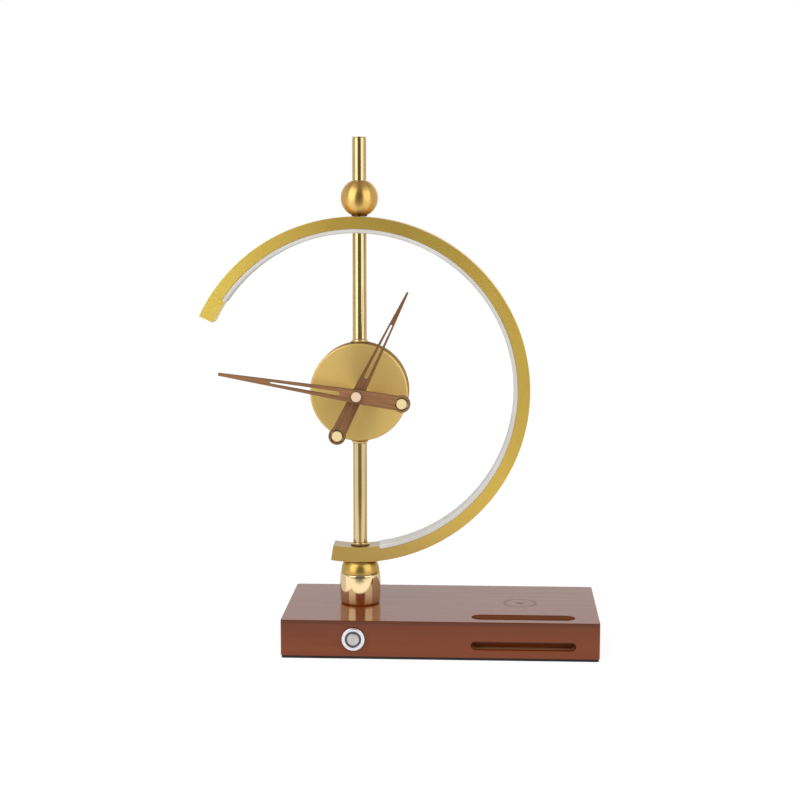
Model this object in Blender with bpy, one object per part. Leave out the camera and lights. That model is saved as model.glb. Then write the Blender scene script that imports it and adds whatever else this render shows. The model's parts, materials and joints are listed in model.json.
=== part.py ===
"""Desk lamp clock: an open LED ring and a clock with wooden hands on a brass post, over a wooden base.

Metres, +Z up. The origin is the centre of the base's underside. +X is to the right and the clock
faces -Y. Each function below makes one group of sub-parts from the driving dimensions at the top.
"""

import math

import bmesh
import bpy
from mathutils import Vector

# Clearances
GAP = 0.0003
RUNNING_GAP = 0.00015
THROUGH = 0.002

# Wooden base
BASE_WIDTH = 0.301
BASE_DEPTH = 0.150
BASE_HEIGHT = 0.037
BASE_CORNER_RADIUS = 0.003
BASE_EDGE_ROUND = 0.0008
PAD_THICKNESS = 0.002
PAD_INSET = 0.0008
PLATE_THICKNESS = 0.002
PLATE_MARGIN = 0.005
PLATE_CORNER_RADIUS = 0.004

# Slots in the base
SLOTS_X = 0.0787
PHONE_SLOT_LENGTH = 0.098
PHONE_SLOT_WIDTH = 0.019
PHONE_SLOT_DEPTH = 0.012
PHONE_SLOT_SETBACK = 0.020
FRONT_SLOT_LENGTH = 0.0985
FRONT_SLOT_HEIGHT = 0.008
FRONT_SLOT_DEPTH = 0.014
FRONT_SLOT_Z = 0.0142

# Electronics bay under the top
BAY_SKIN = 0.008
BAY_SIDE_WALL = 0.022
BAY_REAR_WALL = 0.008
BAY_SLOT_WALL = 0.009
BAY_CORNER_RADIUS = 0.006
SWITCH_BAY_WIDTH = 0.034
SWITCH_BAY_SKIN = 0.0045
COIL_SKIN = 0.004

# Cover plate screws
SCREW_INSET = 0.007
SCREW_HEAD_RADIUS = 0.0033
SCREW_HEAD_HEIGHT = 0.0015
SCREW_SHANK_RADIUS = 0.0016
SCREW_LENGTH = 0.012

# Wireless charger and driver boards
COIL_X = 0.0765
COIL_Y = 0.003
COIL_OUTER_RADIUS = 0.0245
COIL_INNER_RADIUS = 0.010
COIL_THICKNESS = 0.0013
FERRITE_THICKNESS = 0.001
BOARD_THICKNESS = 0.0016
BOARD_CORNER_RADIUS = 0.001
COMPONENT_HEIGHT = 0.004
BOARD_FOOT_HEIGHT = 0.004
BOARD_FOOT_RADIUS = 0.0015
CHARGER_BOARD_LENGTH = 0.046
CHARGER_BOARD_WIDTH = 0.034
CHARGER_BOARD_X = 0.078
CHARGER_BOARD_Y = 0.010
DRIVER_BOARD_LENGTH = 0.060
DRIVER_BOARD_WIDTH = 0.026
DRIVER_BOARD_X = 0.0
DRIVER_BOARD_Y = 0.020

# Power inlet in the rear face
INLET_X = -0.030
INLET_Z = 0.0185
INLET_FLANGE_RADIUS = 0.0055
INLET_FLANGE_THICKNESS = 0.0018
INLET_BARREL_RADIUS = 0.0039
INLET_BARREL_LENGTH = 0.0145
INLET_BORE_RADIUS = 0.0028
INLET_BORE_DEPTH = 0.0095
INLET_PIN_RADIUS = 0.001
INLET_NUT_ACROSS_FLATS = 0.011
INLET_NUT_THICKNESS = 0.0025

# Push button switch in the front face
SWITCH_X = -0.0814
SWITCH_Z = 0.0196
SWITCH_PANEL = 0.008
SWITCH_BEZEL_RADIUS = 0.011
SWITCH_BEZEL_THICKNESS = 0.002
SWITCH_GASKET_THICKNESS = 0.0008
SWITCH_BARREL_RADIUS = 0.0093
SWITCH_BARREL_LENGTH = 0.025
SWITCH_LIGHT_OUTER_RADIUS = 0.0074
SWITCH_LIGHT_WALL = 0.0014
SWITCH_LIGHT_DEPTH = 0.0055
SWITCH_BUTTON_PROUD = 0.0004
SWITCH_BUTTON_LENGTH = 0.0105
SWITCH_TRAVEL = 0.0015
SWITCH_NUT_ACROSS_FLATS = 0.0225
SWITCH_NUT_THICKNESS = 0.004
CONTACT_BLOCK_RADIUS = 0.0085
CONTACT_BLOCK_LENGTH = 0.008
CONTACT_BLADE_LENGTH = 0.005
CONTACT_BLADE_WIDTH = 0.0028
CONTACT_BLADE_THICKNESS = 0.0008
CONTACT_BLADE_SPACING = 0.005

# Post, rods and collars
POST_X = -0.080
ROD_RADIUS = 0.0068
NIPPLE_RADIUS = 0.005
NIPPLE_BORE_RADIUS = 0.0034
NIPPLE_ENGAGEMENT = 0.012
WASHER_RADIUS = 0.012
WASHER_THICKNESS = 0.0015
NUT_ACROSS_FLATS = 0.015
NUT_THICKNESS = 0.004
BARREL_HEIGHT = 0.0299
BARREL_FOOT_RADIUS = 0.0190
BARREL_BELLY_RADIUS = 0.0200
BARREL_TOP_RADIUS = 0.0193
DOME_HEIGHT = 0.0115
DOME_FOOT_RADIUS = 0.0187
DOME_TOP_RADIUS = 0.0138
FOOT_FLANGE_RADIUS = 0.0091
FOOT_FLANGE_HEIGHT = 0.003
CASE_FLANGE_RADIUS = 0.0087
CASE_FLANGE_HEIGHT = 0.0032
BOLT_HEAD_RADIUS = 0.0075
BOLT_HEAD_HEIGHT = 0.003
BALL_RADIUS = 0.018
BALL_SEAT_RADIUS = 0.0081
BALL_TOP_RADIUS = 0.0075
BALL_NECK_RADIUS = 0.0076
BALL_NECK_HEIGHT = 0.00136
TOP_ROD_LENGTH = 0.0398
PLUG_HEAD_THICKNESS = 0.001
PLUG_STEM_LENGTH = 0.006

# Light ring
RING_SHIFT = -0.0030
RING_RADIUS = 0.16738
RING_DEPTH = 0.025
RING_STEP = 6.1
CHANNEL_WEB = 0.0016
CHANNEL_CHEEK = 0.0015
CHANNEL_HEIGHT = 0.0116
DIFFUSER_PROUD = 0.0041
DIFFUSER_WALL = 0.0014
DIFFUSER_LEG = 0.005
DIFFUSER_CORNER = 0.0018
BLOCK_HEIGHT = 0.01464
BLOCK_EDGE_ROUND = 0.0004
TONGUE_LENGTH = 0.009
TONGUE_HEIGHT = 0.0045
UPPER_END = -64.5
UPPER_SHOULDER = -55.8
LOWER_SHOULDER = 171.6
LOWER_END = 188.5
STRIP_WIDTH = 0.010
STRIP_THICKNESS = 0.0014

# Clock case
CLOCK_DROP = 0.00075
CASE_RADIUS = 0.0473
CASE_DEPTH = 0.026
CASE_WALL = 0.0015
CASE_CHAMFER = 0.0014

# Quartz movement
MOVEMENT_SIZE = 0.056
MOVEMENT_DEPTH = 0.0148
MOVEMENT_CORNER_RADIUS = 0.004
MOVEMENT_PLATE = 0.0012
CHAMBER_DEPTH = 0.0051
CHAMBER_MARGIN = 0.0011
BATTERY_RADIUS = 0.0071
BATTERY_LENGTH = 0.0492
BATTERY_NUB_RADIUS = 0.00275
BATTERY_NUB_LENGTH = 0.0013
BATTERY_BAY_WALL = 0.001
BUSH_RADIUS = 0.004
BUSH_REACH = 0.016
BUSH_NUT_ACROSS_FLATS = 0.0125
BUSH_NUT_THICKNESS = 0.003
KNOB_RADIUS = 0.0055
KNOB_THICKNESS = 0.003
KNOB_FLUTES = 12

# Motion work
GEAR_MODULE = 0.0006
GEAR_BACKLASH = 0.0002
GEAR_THICKNESS = 0.0014
GEAR_PRESSURE_ANGLE = 20.0
GEAR_ADDENDUM = 0.9
GEAR_DEDENDUM = 1.2
CANNON_TEETH = 10
MINUTE_WHEEL_TEETH = 30
MINUTE_PINION_TEETH = 8
HOUR_WHEEL_TEETH = 32
SETTING_TEETH = 10
MINUTE_WHEEL_BEARING = 135.0
ARBOR_RADIUS = 0.0017
HOUR_TUBE_RADIUS = 0.0027
PIVOT_RADIUS = 0.0008
PIVOT_LENGTH = 0.0012
SETTING_SHAFT_RADIUS = 0.0012

# Hands
HAND_THICKNESS = 0.0045
HAND_EDGE_ROUND = 0.0004
HOUR_HAND_STANDOFF = 0.022
MINUTE_HAND_STANDOFF = 0.029
HOUR_HAND_ANGLE = 26.1
HOUR_HAND_LENGTH = 0.1091
HOUR_HAND_WIDTH = 0.0118
HOUR_HAND_TIP = 0.0019
HOUR_SLOT_START = 0.0178
HOUR_SLOT_END = 0.0751
HOUR_SLOT_WIDTH = 0.0038
MINUTE_HAND_ANGLE = 278.9
MINUTE_HAND_LENGTH = 0.1325
MINUTE_HAND_WIDTH = 0.0130
MINUTE_HAND_TIP = 0.0026
MINUTE_SLOT_START = 0.0157
MINUTE_SLOT_END = 0.0830
MINUTE_SLOT_WIDTH = 0.0044
SLOT_TIP_WIDTH = 0.0018
TAIL_LENGTH = 0.0433
TAIL_WIDTH = 0.0136
TAIL_END_RADIUS = 0.0082
INSERT_RADIUS = 0.00555
INSERT_PROUD = 0.0008
HOUR_HUB_RADIUS = 0.0062
HOUR_HUB_THICKNESS = 0.003
HUB_NECK_WALL = 0.0011
MINUTE_HUB_RADIUS = 0.0052
MINUTE_HUB_THICKNESS = 0.0009
CAP_RADIUS = 0.00505
CAP_THICKNESS = 0.002
CAP_SOCKET = 0.0012

# Facets
FINE = 36
MEDIUM = 24
COARSE = 18
SMALL = 12
SCREW_FACETS = 8

# Heights and places that follow from the sizes above
BLOCK_BOTTOM = PAD_THICKNESS + GAP
BAY_CEILING = BASE_HEIGHT - BAY_SKIN
PLATE_TOP = BLOCK_BOTTOM + PLATE_THICKNESS
BAY_FRONT = -BASE_DEPTH / 2 + PHONE_SLOT_SETBACK + PHONE_SLOT_WIDTH / 2 + BAY_SLOT_WALL
BAY_BACK = BASE_DEPTH / 2 - BAY_REAR_WALL
RING_X = POST_X + RING_SHIFT
CHANNEL_EDGE = RING_RADIUS - CHANNEL_HEIGHT
CHANNEL_FLOOR = RING_RADIUS - CHANNEL_WEB
CHANNEL_HALF_WIDTH = RING_DEPTH / 2 - CHANNEL_CHEEK
BLOCK_FACE = RING_RADIUS - BLOCK_HEIGHT
BORE_RADIUS = NIPPLE_RADIUS + GAP
DIAL = CASE_DEPTH / 2
CASE_FLOOR = DIAL - CASE_WALL
PLATE_FRONT = CASE_FLOOR - GAP
HOUSING_FRONT = PLATE_FRONT - MOVEMENT_PLATE - GAP
HOUSING_BACK = HOUSING_FRONT - MOVEMENT_DEPTH
CHAMBER_FLOOR = HOUSING_FRONT - CHAMBER_DEPTH
GEAR_CENTRES = GEAR_MODULE * (CANNON_TEETH + MINUTE_WHEEL_TEETH) / 2
REAR_LAYER = CHAMBER_FLOOR + GAP
FRONT_LAYER = HOUSING_FRONT - GAP - GEAR_THICKNESS


def ring_drop(radius, offset):
    """How far a circle of this radius falls from its crown at a sideways offset."""
    return radius - math.sqrt(radius * radius - offset * offset)


RING_CROWN_DROP = ring_drop(RING_RADIUS, RING_SHIFT)
BARREL_BOTTOM = BASE_HEIGHT + GAP
DOME_BOTTOM = BARREL_BOTTOM + BARREL_HEIGHT + GAP
DOME_TOP = DOME_BOTTOM + DOME_HEIGHT
RING_Z = DOME_TOP + GAP + RING_RADIUS - RING_CROWN_DROP
CLOCK_Z = RING_Z - CLOCK_DROP
RING_HIGH = RING_Z + RING_RADIUS - RING_CROWN_DROP
BLOCK_TOP = RING_Z - BLOCK_FACE + ring_drop(BLOCK_FACE, RING_SHIFT)
WEB_LOW = RING_Z + CHANNEL_FLOOR - ring_drop(CHANNEL_FLOOR, abs(RING_SHIFT) + ROD_RADIUS)
ROD_FOOT = BLOCK_TOP + GAP + FOOT_FLANGE_HEIGHT + GAP
CASE_BOTTOM = CLOCK_Z - CASE_RADIUS
CASE_TOP = CLOCK_Z + CASE_RADIUS
BALL_FOOT = RING_HIGH + GAP
BALL_SEAT = BALL_FOOT + BALL_NECK_HEIGHT
BALL_Z = BALL_SEAT + math.sqrt(BALL_RADIUS**2 - BALL_SEAT_RADIUS**2)
TOP_ROD_FOOT = BALL_Z + math.sqrt(BALL_RADIUS**2 - BALL_TOP_RADIUS**2) + GAP


def clear_scene():
    """Removes what the scene starts with."""
    for item in list(bpy.data.objects):
        bpy.data.objects.remove(item)


def make_material(name, colour, metallic, roughness):
    """A Principled material in one plain colour."""
    material = bpy.data.materials.new(name)
    material.use_nodes = True
    shader = material.node_tree.nodes["Principled BSDF"]
    shader.inputs["Base Color"].default_value = (*colour, 1.0)
    shader.inputs["Metallic"].default_value = metallic
    shader.inputs["Roughness"].default_value = roughness
    material.diffuse_color = (*colour, 1.0)
    return material


def frame(name, location, rotation=(0.0, 0.0, 0.0)):
    """An empty that carries a group of sub-parts."""
    empty = bpy.data.objects.new(name, None)
    bpy.context.scene.collection.objects.link(empty)
    empty.location = location
    empty.rotation_euler = rotation
    return empty


def add_object(name, shape, parent=None, location=(0.0, 0.0, 0.0), turn=0.0, material=None):
    """Turns a bmesh into a linked object, smooth except at its sharp edges."""
    bmesh.ops.recalc_face_normals(shape, faces=shape.faces)
    mesh = bpy.data.meshes.new(name)
    shape.to_mesh(mesh)
    shape.free()
    mesh.shade_smooth()
    mesh.set_sharp_from_angle(angle=math.radians(30))
    item = bpy.data.objects.new(name, mesh)
    bpy.context.scene.collection.objects.link(item)
    item.parent = parent
    item.location = location
    item.rotation_euler = (0.0, 0.0, turn)
    if material:
        mesh.materials.append(material)
    return item


def hide_tool(item):
    """Marks an object as a tool for a Boolean, not a sub-part."""
    item.hide_render = True
    item.display_type = "WIRE"
    return item


def boolean(item, tool, operation):
    """Adds an exact Boolean of a tool object to an item."""
    modifier = item.modifiers.new(operation.lower(), "BOOLEAN")
    modifier.operation = operation
    modifier.solver = "EXACT"
    modifier.object = hide_tool(tool)


def cut(item, tool):
    """Takes the tool's volume out of the item."""
    boolean(item, tool, "DIFFERENCE")


def fuse(item, tool):
    """Adds the tool's volume to the item."""
    boolean(item, tool, "UNION")


def round_edges(item, width, segments=1, angle=40.0):
    """Rounds the edges sharper than an angle."""
    modifier = item.modifiers.new("edge_round", "BEVEL")
    modifier.width = width
    modifier.segments = segments
    modifier.limit_method = "ANGLE"
    modifier.angle_limit = math.radians(angle)


def circle(radius, count, centre=(0.0, 0.0)):
    """Corner points of a circle."""
    turns = [2 * math.pi * i / count for i in range(count)]
    return [(centre[0] + radius * math.cos(t), centre[1] + radius * math.sin(t)) for t in turns]


def rounded_rectangle(width, height, radius, count=3, centre=(0.0, 0.0)):
    """Outline of a rectangle with round corners."""
    points = []
    for quarter, (sx, sy) in enumerate(((1, 1), (-1, 1), (-1, -1), (1, -1))):
        cx = centre[0] + sx * (width / 2 - radius)
        cy = centre[1] + sy * (height / 2 - radius)
        for i in range(count + 1):
            turn = math.pi / 2 * (quarter + i / count)
            points.append((cx + radius * math.cos(turn), cy + radius * math.sin(turn)))
    return points


def stadium(length, width, count=7):
    """Outline of a slot with round ends, along X."""
    points = []
    for side in (1, -1):
        for i in range(count + 1):
            turn = math.pi * (i / count - 0.5) + (math.pi if side < 0 else 0.0)
            points.append(
                (side * (length - width) / 2 + width / 2 * math.cos(turn), width / 2 * math.sin(turn))
            )
    return points


def hexagon(across_flats):
    """Outline of a nut, with two flats level."""
    radius = across_flats / math.sqrt(3)
    return [
        (radius * math.cos(math.pi / 3 * i), radius * math.sin(math.pi / 3 * i)) for i in range(6)
    ]


def turned(profile, count):
    """Turns a profile of (radius, height) points about Z. A profile that starts and ends at radius 0 is solid."""
    shape = bmesh.new()
    verts = [shape.verts.new((radius, 0.0, height)) for radius, height in profile]
    edges = [shape.edges.new(pair) for pair in zip(verts, verts[1:])]
    if profile[0][0] > 0.0:
        edges.append(shape.edges.new((verts[-1], verts[0])))
    bmesh.ops.spin(
        shape,
        geom=verts + edges,
        cent=(0.0, 0.0, 0.0),
        axis=(0.0, 0.0, 1.0),
        angle=2 * math.pi,
        steps=count,
        use_merge=True,
    )
    bmesh.ops.remove_doubles(shape, verts=shape.verts, dist=1e-7)
    return shape


def prism(outline, bottom, top, holes=()):
    """Extrudes an outline, with any holes, from one height to another."""
    shape = bmesh.new()
    edges = []
    for loop in (outline, *holes):
        verts = [shape.verts.new((x, y, bottom)) for x, y in loop]
        edges += [shape.edges.new((a, b)) for a, b in zip(verts, verts[1:] + verts[:1])]
    if holes:
        bmesh.ops.triangle_fill(shape, use_beauty=True, edges=edges, normal=(0.0, 0.0, 1.0))
    else:
        shape.faces.new(shape.verts)
    grown = bmesh.ops.extrude_face_region(shape, geom=shape.faces[:])
    lifted = [v for v in grown["geom"] if isinstance(v, bmesh.types.BMVert)]
    bmesh.ops.translate(shape, vec=(0.0, 0.0, top - bottom), verts=lifted)
    return shape


def box(centre, size):
    """A block given by its centre and size."""
    shape = bmesh.new()
    bmesh.ops.create_cube(shape, size=1.0)
    bmesh.ops.scale(shape, vec=size, verts=shape.verts)
    bmesh.ops.translate(shape, vec=centre, verts=shape.verts)
    return shape


def rod(radius, bottom, top, count=COARSE):
    """A plain cylinder along Z."""
    return prism(circle(radius, count), bottom, top)


def tube(outer, inner, bottom, top, count=COARSE):
    """A plain tube along Z."""
    return turned([(inner, bottom), (outer, bottom), (outer, top), (inner, top)], count)


def ring_point(radius, angle, depth):
    """A point of the ring: the angle is clockwise from the top, as seen from the front."""
    turn = math.radians(angle)
    return (radius * math.sin(turn), radius * math.cos(turn), depth)


def ring_sweep(section, start, end):
    """Sweeps a closed section of (radius, depth) points round the ring's axis."""
    steps = max(1, round((end - start) / RING_STEP))
    shape = bmesh.new()
    loops = []
    for i in range(steps + 1):
        angle = start + (end - start) * i / steps
        loops.append([shape.verts.new(ring_point(radius, angle, depth)) for radius, depth in section])
    for near, far in zip(loops, loops[1:]):
        for i in range(len(section)):
            j = (i + 1) % len(section)
            shape.faces.new((near[i], near[j], far[j], far[i]))
    shape.faces.new(loops[0])
    shape.faces.new(loops[-1])
    return shape


def gear_radii(teeth):
    """Root, base, pitch and tip radius of a gear."""
    pitch = teeth * GEAR_MODULE / 2
    base = pitch * math.cos(math.radians(GEAR_PRESSURE_ANGLE))
    return pitch - GEAR_DEDENDUM * GEAR_MODULE, base, pitch, pitch + GEAR_ADDENDUM * GEAR_MODULE


def gear_outline(teeth, first_tooth):
    """Outline of an involute gear whose first tooth points along first_tooth, in degrees."""
    root, base, pitch, tip = gear_radii(teeth)
    radii = [root, tip] if base - root < GEAR_MODULE / 3 else [root, base, tip]

    def involute(radius):
        if radius <= base:
            return 0.0
        return math.sqrt((radius / base) ** 2 - 1) - math.acos(base / radius)

    half_tooth = (math.pi * GEAR_MODULE / 2 - GEAR_BACKLASH) / 2 / pitch + involute(pitch)
    flank = [(radius, half_tooth - involute(radius)) for radius in radii]
    points = []
    for tooth in range(teeth):
        middle = math.radians(first_tooth) + 2 * math.pi * tooth / teeth
        turns = [(radius, middle - half) for radius, half in flank]
        turns += [(radius, middle + half) for radius, half in reversed(flank)]
        points += [(radius * math.cos(t), radius * math.sin(t)) for radius, t in turns]
    return points


def make_base(materials):
    """Wooden block with its slots and bays, the cover plate under it, its screws and the foot pad."""
    block = add_object(
        "base_block",
        prism(
            rounded_rectangle(BASE_WIDTH, BASE_DEPTH, BASE_CORNER_RADIUS),
            BLOCK_BOTTOM,
            BASE_HEIGHT,
        ),
        material=materials["lacquered_wood"],
    )
    round_edges(block, BASE_EDGE_ROUND, angle=60.0)

    plate_width = BASE_WIDTH - 2 * PLATE_MARGIN
    plate_depth = BASE_DEPTH - 2 * PLATE_MARGIN
    rebate = rounded_rectangle(plate_width + 2 * GAP, plate_depth + 2 * GAP, PLATE_CORNER_RADIUS)
    cut(block, add_object("rebate_tool", prism(rebate, -THROUGH, PLATE_TOP + GAP)))

    bay_width = BASE_WIDTH - 2 * BAY_SIDE_WALL
    bay_depth = BAY_BACK - BAY_FRONT
    bay = rounded_rectangle(
        bay_width, bay_depth, BAY_CORNER_RADIUS, centre=(0.0, (BAY_BACK + BAY_FRONT) / 2)
    )
    cut(block, add_object("bay_tool", prism(bay, 0.0, BAY_CEILING)))

    switch_front = -BASE_DEPTH / 2 + SWITCH_PANEL
    switch_bay_depth = BAY_FRONT + BAY_CORNER_RADIUS - switch_front
    cut(
        block,
        add_object(
            "switch_bay_tool",
            box(
                (SWITCH_X, switch_front + switch_bay_depth / 2, (BASE_HEIGHT - SWITCH_BAY_SKIN) / 2),
                (SWITCH_BAY_WIDTH, switch_bay_depth, BASE_HEIGHT - SWITCH_BAY_SKIN),
            ),
        ),
    )
    coil_recess = rod(COIL_OUTER_RADIUS + 3 * GAP, PLATE_TOP, BASE_HEIGHT - COIL_SKIN, MEDIUM)
    cut(block, add_object("coil_recess_tool", coil_recess, location=(COIL_X, COIL_Y, 0.0)))

    phone_slot = prism(
        stadium(PHONE_SLOT_LENGTH, PHONE_SLOT_WIDTH),
        BASE_HEIGHT - PHONE_SLOT_DEPTH,
        BASE_HEIGHT + THROUGH,
    )
    phone_slot_y = -BASE_DEPTH / 2 + PHONE_SLOT_SETBACK
    cut(block, add_object("phone_slot_tool", phone_slot, location=(SLOTS_X, phone_slot_y, 0.0)))

    face = frame(
        "front_face_frame", (SLOTS_X, -BASE_DEPTH / 2, FRONT_SLOT_Z), (math.radians(90), 0.0, 0.0)
    )
    front_slot = prism(stadium(FRONT_SLOT_LENGTH, FRONT_SLOT_HEIGHT), -FRONT_SLOT_DEPTH, THROUGH)
    cut(block, add_object("front_slot_tool", front_slot, face))

    post_hole = rod(BORE_RADIUS, 0.0, BASE_HEIGHT + THROUGH)
    cut(block, add_object("post_hole_tool", post_hole, location=(POST_X, 0.0, 0.0)))

    add_object(
        "base_pad",
        prism(
            rounded_rectangle(
                BASE_WIDTH - 2 * PAD_INSET, BASE_DEPTH - 2 * PAD_INSET, BASE_CORNER_RADIUS - PAD_INSET
            ),
            0.0,
            PAD_THICKNESS,
        ),
        material=materials["black_rubber"],
    )

    plate = add_object(
        "bottom_plate",
        prism(
            rounded_rectangle(plate_width, plate_depth, PLATE_CORNER_RADIUS), BLOCK_BOTTOM, PLATE_TOP
        ),
        material=materials["steel"],
    )
    corners = [(sx, sy) for sx in (-1, 1) for sy in (-1, 1)]
    for number, (sx, sy) in enumerate(corners, start=1):
        place = (
            sx * (plate_width / 2 - SCREW_INSET),
            sy * (plate_depth / 2 - SCREW_INSET),
            BLOCK_BOTTOM,
        )
        add_object(
            f"plate_screw_{number}",
            turned(screw_profile(0.0), SCREW_FACETS),
            location=place,
            material=materials["steel"],
        )
        cut(plate, add_object(f"screw_hole_tool_{number}", turned(screw_profile(GAP), SCREW_FACETS), None, place))
        cut(block, plate_screw_pilot(number, place))
    return block


def screw_profile(clearance):
    """Half section of a countersunk screw pointing up, grown by a clearance."""
    head = SCREW_HEAD_RADIUS + clearance
    shank = SCREW_SHANK_RADIUS + clearance
    low = -3 * clearance
    return [
        (0.0, low),
        (head, low),
        (head, SCREW_HEAD_HEIGHT / 4),
        (shank, SCREW_HEAD_HEIGHT + clearance),
        (shank, SCREW_LENGTH - shank + clearance),
        (0.0, SCREW_LENGTH + clearance),
    ]


def plate_screw_pilot(number, place):
    """Hole for a cover screw in the wood."""
    hole = rod(SCREW_SHANK_RADIUS + GAP, 0.0, SCREW_LENGTH + 2 * GAP, SCREW_FACETS)
    return add_object(f"pilot_tool_{number}", hole, location=place)


def make_board(name, length, width, centre, blocks, material):
    """A circuit board on four feet, with its tallest components as blocks.

    Each block is (x, length) in board lengths, (y, width) in board widths and its height in component heights.
    """
    bottom = PLATE_TOP + GAP + BOARD_FOOT_HEIGHT
    board = add_object(
        name,
        prism(rounded_rectangle(length, width, BOARD_CORNER_RADIUS, 1), bottom, bottom + BOARD_THICKNESS),
        location=(*centre, 0.0),
        material=material,
    )
    sunk = BOARD_THICKNESS / 2
    for number, (x, y, dx, dy, dz) in enumerate(blocks, start=1):
        height = dz * COMPONENT_HEIGHT
        middle = (x * length, y * width, bottom + BOARD_THICKNESS + (height - sunk) / 2)
        block = box(middle, (dx * length, dy * width, height + sunk))
        fuse(board, add_object(f"{name}_part_tool_{number}", block, None, (*centre, 0.0)))
    feet = [(sx, sy) for sx in (-1, 1) for sy in (-1, 1)]
    for number, (sx, sy) in enumerate(feet, start=1):
        foot = rod(BOARD_FOOT_RADIUS, PLATE_TOP + GAP, bottom + sunk, 8)
        place = (
            centre[0] + sx * (length / 2 - 2 * BOARD_FOOT_RADIUS),
            centre[1] + sy * (width / 2 - 2 * BOARD_FOOT_RADIUS),
            0.0,
        )
        fuse(board, add_object(f"{name}_foot_tool_{number}", foot, None, place))


def make_electronics(materials):
    """Charging coil and ferrite under the top, and the two boards on the cover plate."""
    coil_top = BASE_HEIGHT - COIL_SKIN - GAP
    coil_bottom = coil_top - COIL_THICKNESS
    add_object(
        "charging_coil",
        tube(COIL_OUTER_RADIUS, COIL_INNER_RADIUS, coil_bottom, coil_top, MEDIUM),
        location=(COIL_X, COIL_Y, 0.0),
        material=materials["copper"],
    )
    ferrite_top = coil_bottom - GAP
    add_object(
        "coil_ferrite",
        rod(COIL_OUTER_RADIUS, ferrite_top - FERRITE_THICKNESS, ferrite_top, MEDIUM),
        location=(COIL_X, COIL_Y, 0.0),
        material=materials["ferrite"],
    )
    make_board(
        "charger_board",
        CHARGER_BOARD_LENGTH,
        CHARGER_BOARD_WIDTH,
        (CHARGER_BOARD_X, CHARGER_BOARD_Y),
        [(-0.26, 0.12, 0.15, 0.21, 0.3), (0.22, -0.12, 0.22, 0.29, 1.0)],
        materials["circuit_board"],
    )
    make_board(
        "driver_board",
        DRIVER_BOARD_LENGTH,
        DRIVER_BOARD_WIDTH,
        (DRIVER_BOARD_X, DRIVER_BOARD_Y),
        [(-0.33, 0.0, 0.17, 0.38, 2.25), (0.07, 0.0, 0.20, 0.35, 1.5)],
        materials["circuit_board"],
    )


def make_inlet(block, materials):
    """Round power inlet through the rear wall, and its nut."""
    place = (INLET_X, BASE_DEPTH / 2, INLET_Z)
    rear = frame("inlet_frame", place, (math.radians(-90), 0.0, 0.0))
    flange_back = GAP
    flange_front = GAP + INLET_FLANGE_THICKNESS
    body = turned(
        [
            (0.0, flange_front - INLET_BORE_RADIUS / 2),
            (INLET_PIN_RADIUS, flange_front - INLET_BORE_RADIUS / 2),
            (INLET_PIN_RADIUS, flange_front - INLET_BORE_DEPTH),
            (INLET_BORE_RADIUS, flange_front - INLET_BORE_DEPTH),
            (INLET_BORE_RADIUS, flange_front),
            (INLET_FLANGE_RADIUS, flange_front),
            (INLET_FLANGE_RADIUS, flange_back),
            (INLET_BARREL_RADIUS, flange_back),
            (INLET_BARREL_RADIUS, flange_back - INLET_BARREL_LENGTH),
            (0.0, flange_back - INLET_BARREL_LENGTH),
        ],
        SMALL,
    )
    add_object("power_inlet", body, rear, material=materials["black_plastic"])
    nut_top = -BAY_REAR_WALL - GAP
    nut = prism(
        hexagon(INLET_NUT_ACROSS_FLATS),
        nut_top - INLET_NUT_THICKNESS,
        nut_top,
        [circle(INLET_BARREL_RADIUS + GAP, SMALL)],
    )
    add_object("power_inlet_nut", nut, rear, material=materials["steel"])
    hole = rod(INLET_BARREL_RADIUS + GAP, -BAY_REAR_WALL - THROUGH, THROUGH, SMALL)
    cut(block, add_object("inlet_hole_tool", hole, rear))


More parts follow.
